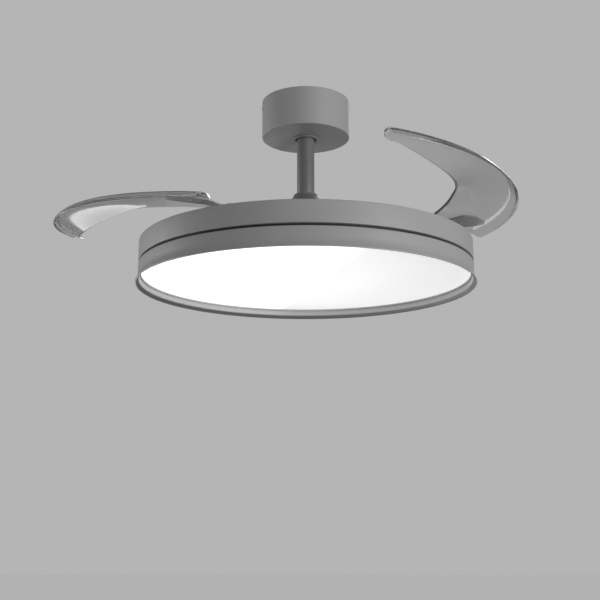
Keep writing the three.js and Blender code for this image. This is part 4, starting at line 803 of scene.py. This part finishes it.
def add_pivot(k, at_pivot):
    """A pivot bolt with a ringed thread, and its nut."""
    base = CARRIER_TOP + SEAT
    base_top = base + POST_BASE
    post = [(0, base), (POST_BASE_RADIUS, base), (POST_BASE_RADIUS, base_top), (POST_RADIUS, base_top)]
    grooves = int((POST_TOP - PIVOT_NUT_BOTTOM) / THREAD_PITCH)
    for i in range(grooves - 1, -1, -1):
        level = POST_TOP - THREAD_END - THREAD_PITCH * i
        post += [(POST_RADIUS, level - THREAD_DEPTH), (POST_RADIUS - THREAD_DEPTH, level)]
    post += [(POST_RADIUS - SEAT, POST_TOP - POST_CHAMFER + SMALL_EDGE),
             (POST_RADIUS - POST_CHAMFER, POST_TOP), (0, POST_TOP)]
    make(f"pivot_bolt_{k}", [cap_lathe(post, 48)], "rotor", STEEL, [f"pivot_post_{k}"], at_pivot)
    nut = hex_nut(POST_RADIUS + SEAT, PIVOT_NUT_RADIUS, PIVOT_NUT_BOTTOM, PIVOT_NUT_TOP)
    make(f"pivot_hex_nut_{k}", [nut], "rotor", STEEL, [f"pivot_nut_{k}"], at_pivot)


add_motor_cap()
add_carrier()
add_gear_cover()
for number in range(1, BLADES + 1):
    spoke = turn_rotor @ Matrix.Rotation((number - 1) * TAU / BLADES, 4, "Z")
    add_carrier_screw(number, spoke)
    add_pivot(number, spoke @ Matrix.Translation((PIVOT_RADIUS * MM, 0, 0)))


# -------- gears
def involute(angle):
    return math.tan(angle) - angle


def half_tooth(teeth, radius):
    """Half the angle that a tooth fills at a radius."""
    pitch = MODULE * teeth / 2
    base = pitch * math.cos(PRESSURE)
    roll = math.acos(base / max(radius, base))
    return math.pi / (2 * teeth) - TOOTH_THINNING / (2 * pitch) + involute(PRESSURE) - involute(roll)


def gear_outline(teeth, tooth_angles, blank_radius):
    """Teeth at the given angles, and arcs of the blank's radius where there are none."""
    pitch = MODULE * teeth / 2
    root, tip = pitch - TOOTH_DEDENDUM * MODULE, pitch + TOOTH_ADDENDUM * MODULE
    flank = [root + share * (tip - root) for share in FLANK_SHARES]
    pitch_angle = TAU / teeth
    outline = []
    for i, angle in enumerate(tooth_angles):
        outline += [polar(r, angle - half_tooth(teeth, r)) for r in flank]
        outline += [polar(r, angle + half_tooth(teeth, r)) for r in reversed(flank)]
        following = tooth_angles[i + 1] if i + 1 < len(tooth_angles) else tooth_angles[0] + TAU
        blank = following - angle - pitch_angle
        if blank < pitch_angle / 2:
            continue
        steps = math.ceil(blank / BLANK_STEP)
        start = angle + pitch_angle / 2
        outline += [polar(blank_radius, start + blank * s / steps) for s in range(steps + 1)]
    return outline


def add_sync_ring():
    """The ring has teeth only where the arms use them."""
    pitch_angle = TAU / RING_TEETH
    used = math.ceil(TRAVEL * GEAR_RATIO / pitch_angle)
    angles = [k * TAU / BLADES + (i - 1) * pitch_angle for k in range(BLADES) for i in range(used + 3)]
    root = MODULE * RING_TEETH / 2 - TOOTH_DEDENDUM * MODULE
    gear = prism(gear_outline(RING_TEETH, angles, root), [circle(MOTOR_FLANGE + 2 * FIT, 192)],
                 CARRIER_TOP + FIT, GEAR_TOP, GEAR_EDGE)
    make("sync_ring_gear", [gear], "sync_gear", STEEL, ["sync_ring"],
         Matrix.Rotation(ROTOR_ANGLE - OPENING * GEAR_RATIO, 4, "Z"))


add_sync_ring()

# -------- blades
# Each blade is a crescent between two circles: closed, its outer circle lies round the axis.
OUTER = 247.6
INNER = 241.9
CIRCLE_OFFSET = 93.5
WIDEST = math.radians(-16.6)  # direction of the widest place
SPAN = math.radians(119)
ROOT_START = math.radians(-13)
ROOT_ROUND = math.radians(4)
TIP_ROUND = math.radians(3)
TIP_START = -SPAN + TIP_ROUND
TIP_WIDTH = 16
TIP_EXTRA = 5  # wider than the crescent between these shares of the span:
TIP_EXTRA_START, TIP_EXTRA_END = 0.6, 0.95
END_TURN = math.radians(86)  # how far round its half ellipse the last section of an end lies
END_SECTIONS = 9
LENGTH_SECTIONS = 64
THICKNESS = 2.6
BEAD = 1.2  # how much thicker the leading edge is
BEAD_FADE = 0.015  # share of a section's width
EDGE_RISE = 9.4  # leading edge at the root, over the drum's top
TIP_RISE = 33
TIP_CURVE = 1.3
ROOT_PITCH = 0.16  # slope of a section from leading to trailing edge
TIP_PITCH = -0.2
TWIST_START, TWIST_END = 0.4, 0.95
CAMBER = 0.045  # share of a section's width
LIP_SHARE = 0.11  # share of a section's width in the leading lip
LIP_RISE = 6.2
# Places across a section from the leading edge, and the share of the full thickness at each.
ACROSS = [0, 0.006, 0.018, 0.035, 0.06, 0.09, LIP_SHARE, 0.122, 0.14, 0.2, 0.3, 0.4, 0.5, 0.6, 0.7, 0.8,
          0.88, 0.94, 0.97, 0.988, 1]
BLUNTNESS = [0.12, 0.5, 0.8, 0.95, 1, 1, 1, 1, 1, 1, 1, 1, 1, 1, 1, 1, 1, 0.98, 0.9, 0.62, 0.14]
STUD_RADIUS = 1.8
STUD_HOLE_HEIGHT = 66
STUD_EDGE = 0.05
CLAMP_STUDS = [(43, 4.5), (58, 7.5), (73, 10)]  # along the blade and towards its leading edge


def smooth_step(start, end, value):
    t = min(max((value - start) / (end - start), 0), 1)
    return t * t * (3 - 2 * t)


def blade_sections():
    """Direction from the pivot's circle, and share of the width, of each section from root to tip."""
    rows = []
    for i in range(END_SECTIONS):
        turn = END_TURN * (1 - i / END_SECTIONS)
        rows.append((ROOT_START + ROOT_ROUND * math.sin(turn), math.cos(turn)))
    for i in range(LENGTH_SECTIONS + 1):
        rows.append((ROOT_START + (TIP_START - ROOT_START) * i / LENGTH_SECTIONS, 1))
    for i in range(1, END_SECTIONS + 1):
        turn = END_TURN * i / END_SECTIONS
        rows.append((TIP_START - TIP_ROUND * math.sin(turn), math.cos(turn)))
    return rows


def blade_width(direction):
    away = direction - WIDEST
    inner_edge = math.sqrt(INNER ** 2 - (CIRCLE_OFFSET * math.sin(away)) ** 2)
    crescent = OUTER + CIRCLE_OFFSET * math.cos(away) - inner_edge
    extra = TIP_EXTRA * smooth_step(TIP_EXTRA_START, TIP_EXTRA_END, -direction / SPAN)
    return max(crescent + extra, TIP_WIDTH)


def blade_level(direction, across):
    """Height of the blade's middle surface at a share of its width from the leading edge."""
    along = max(0, -direction / SPAN)
    full = blade_width(direction)
    slope = ROOT_PITCH + (TIP_PITCH - ROOT_PITCH) * smooth_step(TWIST_START, TWIST_END, along)
    edge = DRUM_TOP + EDGE_RISE + TIP_RISE * along ** TIP_CURVE
    camber = CAMBER * full * 4 * across * (1 - across)
    lip = across / LIP_SHARE if across < LIP_SHARE else (1 - across) / (1 - LIP_SHARE)
    return edge + slope * across * full + camber + LIP_RISE * lip


def blade_loop(direction, share):
    rows = []
    for step, blunt in zip(ACROSS, BLUNTNESS):
        across = 0.5 + (step - 0.5) * share
        radius = OUTER - across * blade_width(direction)
        thick = THICKNESS + BEAD * (1 - smooth_step(LIP_SHARE, LIP_SHARE + BEAD_FADE, step))
        x, y = polar(radius, direction)
        rows.append((x - PIVOT_RADIUS, y, blade_level(direction, across), 0.5 * blunt * thick))
    return [(x, y, z + h) for x, y, z, h in rows] + [(x, y, z - h) for x, y, z, h in reversed(rows)]


def as_object(name, part):
    mesh = bpy.data.meshes.new(name)
    mesh.from_pydata([tuple(v) for v in part[0]], [], part[1])
    mesh.transform(Matrix.Scale(MM, 4))
    thing = bpy.data.objects.new(name, mesh)
    scene.collection.objects.link(thing)
    return thing


def combined(base, tools):
    """The mesh of base after each (operation, object) pair; the objects are used up."""
    for operation, tool in tools:
        modifier = base.modifiers.new(operation, "BOOLEAN")
        modifier.operation = operation
        modifier.solver = "EXACT"
        modifier.object = tool
    mesh = bpy.data.meshes.new_from_object(base.evaluated_get(bpy.context.evaluated_depsgraph_get()))
    for thing in [base] + [tool for _, tool in tools]:
        bpy.data.objects.remove(thing)
    return mesh


def blade_with_holes():
    skin = as_object("blade_skin", loft([blade_loop(*row) for row in blade_sections()]))
    hole = disc(STUD_RADIUS + SEAT, DRUM_TOP, DRUM_TOP + STUD_HOLE_HEIGHT, STUD_EDGE, 24)
    holes = [moved(hole, Matrix.Translation((shift, -along, 0))) for along, shift in CLAMP_STUDS]
    return combined(skin, [("DIFFERENCE", as_object("stud_hole", each)) for each in holes])


# -------- arms, clamps and springs
# A plate's outline from the pivot out: distance along the blade, shift towards its leading edge,
# and half width.
ARM_OUTLINE = [(0, 0, 14.8), (13, 0, 14), (21, 1, 13.5), (28, 2, 14), (36, 3, 15.5), (50, 6, 18),
               (66, 9, 20), (80, 11, 20), (88, 12.5, 16), (92, 13.5, 8)]
CLAMP_OUTLINE = [(36, 3, 3), (38, 3.4, 6.5), (50, 6, 8), (66, 9, 8), (78, 10.7, 6.5), (80, 11, 3)]
PLATE_EASE = [1, 3, 5, 3, 1]  # weights that round an outline's bends
PLATE_CELLS = (1, 0.6, 0.2, -0.2, -0.6, -1)  # shares of the half width, across a plate
EDGE_SHOULDER = 0.3  # share of a plate's edge, and its drops there and at the very edge
SHOULDER_DROP = 0.18
EDGE_DROP = 0.45
ARM_STEPS = 72
ARM_THICKNESS = 2.4
ARM_PLATE_TOP = -213.7
ARM_PLATE_BOTTOM = ARM_PLATE_TOP - ARM_THICKNESS
ARM_PLATE_RADIUS = 15
ARM_PLATE_EDGE = 0.5
ARM_RAMP_START, ARM_RAMP_END = 13, 36  # from the pivot, along the blade
ARM_UNDER_BLADE = 0.8
ARM_BLANK_RADIUS = 22
HUB_OVER_PLATE = 0.15
HUB_EDGE = 0.4
BORE_PAST = 1
NECK_RADIUS = 12.6
NECK_EDGE = 0.1
LUG_START = 18
LUG_REACH = 42
LUG_ROUNDING = 2
CLAMP_STEPS = 40
CLAMP_THICKNESS = 1.4
CLAMP_GAP = 0.4
CLAMP_EDGE = 0.4
STUD_HEAD_RADIUS = 3
STUD_HEAD_HEIGHT = 0.8
STUD_HEAD_EDGE = 0.5
STUD_FOOT_RADIUS = 2.6
STUD_FOOT_HEIGHT = 0.7
STUD_FOOT_EDGE = 0.4
STUD_END = 0.5  # of the shank, below the clamp's top
STUD_OVERLAP = 0.1
SPRING_WIRE = 1.9
SPRING_TURNS = 1.4
SPRING_STEPS = 96
SPRING_START = math.radians(24)  # from the lug
SPRING_GAP = 0.1
SPRING_LEG = 9
SPRING_TAIL = 8


def level_over(x, y):
    """Height of the blade's middle surface over a place measured from the pivot."""
    direction = math.atan2(y, x + PIVOT_RADIUS)
    radius = math.hypot(x + PIVOT_RADIUS, y)
    return blade_level(direction, (OUTER - radius) / blade_width(direction))


def arm_top(x, y):
    """The arm's plate starts flat at the pivot and climbs to the blade's underside."""
    under_blade = level_over(x, min(y, -ARM_RAMP_START)) - THICKNESS / 2 - ARM_UNDER_BLADE
    return ARM_PLATE_TOP + (under_blade - ARM_PLATE_TOP) * smooth_step(ARM_RAMP_START, ARM_RAMP_END, -y)


def clamp_top(x, y):
    return level_over(x, y) + THICKNESS / 2 + CLAMP_GAP + CLAMP_THICKNESS


def shaped_plate(outline, steps, top_of, thickness, edge):
    """A plate that follows a curved surface; its outline is eased and its edges are rounded."""
    stations = np.array([row[0] for row in outline], float)
    dense = np.linspace(stations[0], stations[-1], steps)
    shifts, halves = (eased(np.interp(dense, stations, [row[i] for row in outline]), PLATE_EASE)
                      for i in (1, 2))
    loops = []
    for along, shift, half in zip(dense, shifts, halves):
        shoulder = half - EDGE_SHOULDER * edge
        cells = [(half, EDGE_DROP), (shoulder, SHOULDER_DROP)]
        cells += [((half - edge) * share, 0) for share in PLATE_CELLS]
        cells += [(-shoulder, SHOULDER_DROP), (-half, EDGE_DROP)]
        spots = [(shift + x, -along, top_of(shift + x, -along), drop * thickness) for x, drop in cells]
        loops.append([(x, y, z - d) for x, y, z, d in spots] + [
            (x, y, z - thickness + d) for x, y, z, d in reversed(spots)])
    return loft(loops)


def arm_plate():
    """The arm's shaped plate, joined to its round hub and bored for the bush."""
    hub = disc(ARM_PLATE_RADIUS, ARM_PLATE_BOTTOM - LAYER_OVERLAP, ARM_PLATE_TOP + HUB_OVER_PLATE,
               HUB_EDGE, 96)
    bore = disc(BUSH_RADIUS + SEAT, ARM_PLATE_BOTTOM - BORE_PAST, ARM_PLATE_TOP + BORE_PAST, FINE_EDGE, 48)
    plate = shaped_plate(ARM_OUTLINE, ARM_STEPS, arm_top, ARM_THICKNESS, ARM_PLATE_EDGE)
    mesh = combined(as_object("arm", plate), [("UNION", as_object("arm_hub", hub)),
                                              ("DIFFERENCE", as_object("arm_bore", bore))])
    return [tuple(v.co / MM) for v in mesh.vertices], [tuple(f.vertices) for f in mesh.polygons]


def lug():
    """The lug that meets the stops, opposite the middle of the blade's travel."""
    turn = Matrix.Rotation(-TRAVEL / 2, 4, "Z")
    box = [(LUG_START, -LUG_HALF_WIDTH), (LUG_REACH, -LUG_HALF_WIDTH), (LUG_REACH, LUG_HALF_WIDTH),
           (LUG_START, LUG_HALF_WIDTH)]
    outline = [tuple((turn @ Vector((x, y, 0)))[:2]) for x, y in rounded(box, LUG_ROUNDING, 4)]
    return prism(outline, [], GEAR_BOTTOM + LAYER_OVERLAP, GEAR_TOP - LAYER_OVERLAP, GEAR_EDGE)


def arm():
    bore = BUSH_RADIUS + SEAT
    pitch_angle = TAU / ARM_TEETH
    used = math.ceil(TRAVEL / pitch_angle)
    angles = [math.pi + (i - used - 0.5) * pitch_angle for i in range(used + 2)]
    sector = prism(gear_outline(ARM_TEETH, angles, ARM_BLANK_RADIUS), [circle(bore, 48)],
                   GEAR_BOTTOM, GEAR_TOP, GEAR_EDGE)
    neck = ring(bore, NECK_RADIUS, GEAR_TOP - LAYER_OVERLAP, ARM_PLATE_BOTTOM + FIT, NECK_EDGE, 64)
    return [sector, lug(), neck, arm_plate()]


def spring():
    """A torsion spring round the arm's neck, with a straight leg at either end."""
    bottom = GEAR_TOP + SEAT + SPRING_WIRE / 2
    top = ARM_PLATE_BOTTOM - 2 * FIT - SPRING_WIRE / 2
    mean = NECK_RADIUS + FIT + SPRING_WIRE / 2 + SPRING_GAP
    start = SPRING_START - TRAVEL / 2
    end = start + TAU * SPRING_TURNS
    coil = []
    for i in range(SPRING_STEPS + 1):
        t = i / SPRING_STEPS
        coil.append((*polar(mean, start + (end - start) * t), bottom + (top - bottom) * t))
    leg = Vector(coil[0]) + Vector((math.sin(start), -math.cos(start), 0)) * SPRING_LEG
    tail = Vector(coil[-1]) + Vector((-math.sin(end), math.cos(end), 0)) * SPRING_TAIL
    return sweep([tuple(leg), *coil, tuple(tail)], SPRING_WIRE / 2)


def clamp():
    """The strip on the blade's top, with the studs that join it to the arm."""
    parts = [shaped_plate(CLAMP_OUTLINE, CLAMP_STEPS, clamp_top, CLAMP_THICKNESS, CLAMP_EDGE)]
    for along, shift in CLAMP_STUDS:
        top = clamp_top(shift, -along)
        foot = arm_top(shift, -along) - ARM_THICKNESS
        at_stud = Matrix.Translation((shift, -along, 0))
        stud = [disc(STUD_RADIUS, foot, top - STUD_END, SMALL_EDGE, 24),
                disc(STUD_HEAD_RADIUS, top - STUD_OVERLAP, top + STUD_HEAD_HEIGHT, STUD_HEAD_EDGE, 32),
                disc(STUD_FOOT_RADIUS, foot - STUD_FOOT_HEIGHT, foot + STUD_OVERLAP, STUD_FOOT_EDGE, 32)]
        parts += moved_all(stud, at_stud)
    return parts


def add_blade_sets():
    blade_mesh = blade_with_holes()
    arm_parts, spring_part, clamp_parts = arm(), spring(), clamp()
    for k in range(BLADES):
        number = k + 1
        body = f"blade_set_{number}"
        angle = k * TAU / BLADES
        at_pivot = Matrix.Translation(Vector((*polar(PIVOT_RADIUS, angle), 0)) * MM)
        place = turn_rotor @ at_pivot @ Matrix.Rotation(angle + OPENING, 4, "Z")
        mesh = blade_mesh.copy()
        mesh.transform(place)
        blade = bpy.data.objects.new(f"clear_blade_{number}", mesh)
        dress(blade, body, CLEAR, [f"blade_{number}"], 40)
        make(f"geared_arm_{number}", arm_parts, body, ARM_COAT, [f"blade_arm_{number}"], place)
        make(f"torsion_spring_{number}", [spring_part], body, WIRE, [f"return_spring_{number}"],
             place)
        make(f"clamp_plate_{number}", clamp_parts, body, STEEL, [f"blade_clamp_{number}"], place)


add_blade_sets()

# -------- floor, world, light and camera
# Places and sizes here are in metres, and powers in watts.
FLOOR_Z = -2.4
FLOOR_REACH = 30
FLOOR_GREY = 0.42
FLOOR_LIFT = 0.33
BACKDROP = 0.46
BACKDROP_TINT = 0.01
AMBIENT = 0.26
AIM = (0, 0, -0.2)


def add_floor():
    """A pale floor that keeps the shadow; the camera sees it lifted to the backdrop's tone."""
    mesh = bpy.data.meshes.new("floor")
    corners = ((-1, -1), (1, -1), (1, 1), (-1, 1))
    mesh.from_pydata([(x * FLOOR_REACH, y * FLOOR_REACH, FLOOR_Z) for x, y in corners], [], [(0, 1, 2, 3)])
    floor = bpy.data.objects.new("floor", mesh)
    scene.collection.objects.link(floor)
    material, shader = new_material("pale_floor", grey(FLOOR_GREY), 0.9)
    shader.inputs["Specular IOR Level"].default_value = 0
    shader.inputs["Emission Color"].default_value = (1, 1, 1, 1)
    tree = material.node_tree
    path = add_node(tree, "LightPath")
    lift = add_node(tree, "Math", {1: FLOOR_LIFT}, operation="MULTIPLY")
    join(tree, (path.outputs["Is Camera Ray"], lift.inputs[0]),
         (lift.outputs["Value"], shader.inputs["Emission Strength"]))
    mesh.materials.append(material)


def add_world():
    """An even light, and a backdrop that the camera sees, also through the clear blades."""
    world = bpy.data.worlds.new("studio")
    scene.world = world
    world.use_nodes = True
    tree = world.node_tree
    tree.nodes.clear()
    path = add_node(tree, "LightPath")
    seen = add_node(tree, "Math", operation="MAXIMUM")
    lighting = add_node(tree, "Background", {"Color": (1, 1, 1, 1), "Strength": AMBIENT})
    backdrop = add_node(tree, "Background", {"Color": (*grey(BACKDROP, BACKDROP_TINT), 1)})
    mix = add_node(tree, "MixShader")
    out = add_node(tree, "OutputWorld")
    join(tree, (path.outputs["Is Camera Ray"], seen.inputs[0]),
         (path.outputs["Is Transmission Ray"], seen.inputs[1]), (seen.outputs[0], mix.inputs["Fac"]),
         (lighting.outputs[0], mix.inputs[1]), (backdrop.outputs[0], mix.inputs[2]),
         (mix.outputs[0], out.inputs["Surface"]))


def area_light(name, where, target, size, power, reflection_only=False):
    data = bpy.data.lights.new(name, "AREA")
    data.size = size
    data.energy = power
    lamp = bpy.data.objects.new(name, data)
    lamp.location = where
    lamp.rotation_euler = (Vector(target) - Vector(where)).to_track_quat("-Z", "Y").to_euler()
    lamp.visible_camera = False
    lamp.visible_transmission = False
    lamp.visible_diffuse = not reflection_only
    scene.collection.objects.link(lamp)


add_floor()
add_world()
area_light("key", (2.3, -2.1, -0.55), AIM, 1.4, 66)
area_light("left_rim", (-2.6, 0.5, -0.2), AIM, 0.9, 26)
area_light("back_fill", (0.4, 2.6, 1.2), AIM, 1.6, 26)
area_light("low_card", (-3.6, 3.6, -2.35), (-3.6, 3.6, 0), 8, 460, reflection_only=True)

CAMERA_AT = (0, -1.5235, -0.626)
CAMERA_PITCH = 0.2027  # radians, as is the yaw
CAMERA_YAW = -0.0058
PIXEL_FOCAL = 1038.4
FRAME_PIXELS = 600
SENSOR = 36  # millimetres


def add_camera():
    data = bpy.data.cameras.new("camera")
    data.sensor_width = SENSOR
    data.lens = PIXEL_FOCAL / FRAME_PIXELS * SENSOR
    camera = bpy.data.objects.new("camera", data)
    camera.location = CAMERA_AT
    level = math.cos(CAMERA_PITCH)
    forward = Vector((math.sin(CAMERA_YAW) * level, math.cos(CAMERA_YAW) * level, math.sin(CAMERA_PITCH)))
    camera.rotation_euler = forward.to_track_quat("-Z", "Y").to_euler()
    scene.collection.objects.link(camera)
    return camera


scene.camera = add_camera()
scene.view_settings.view_transform = "Standard"
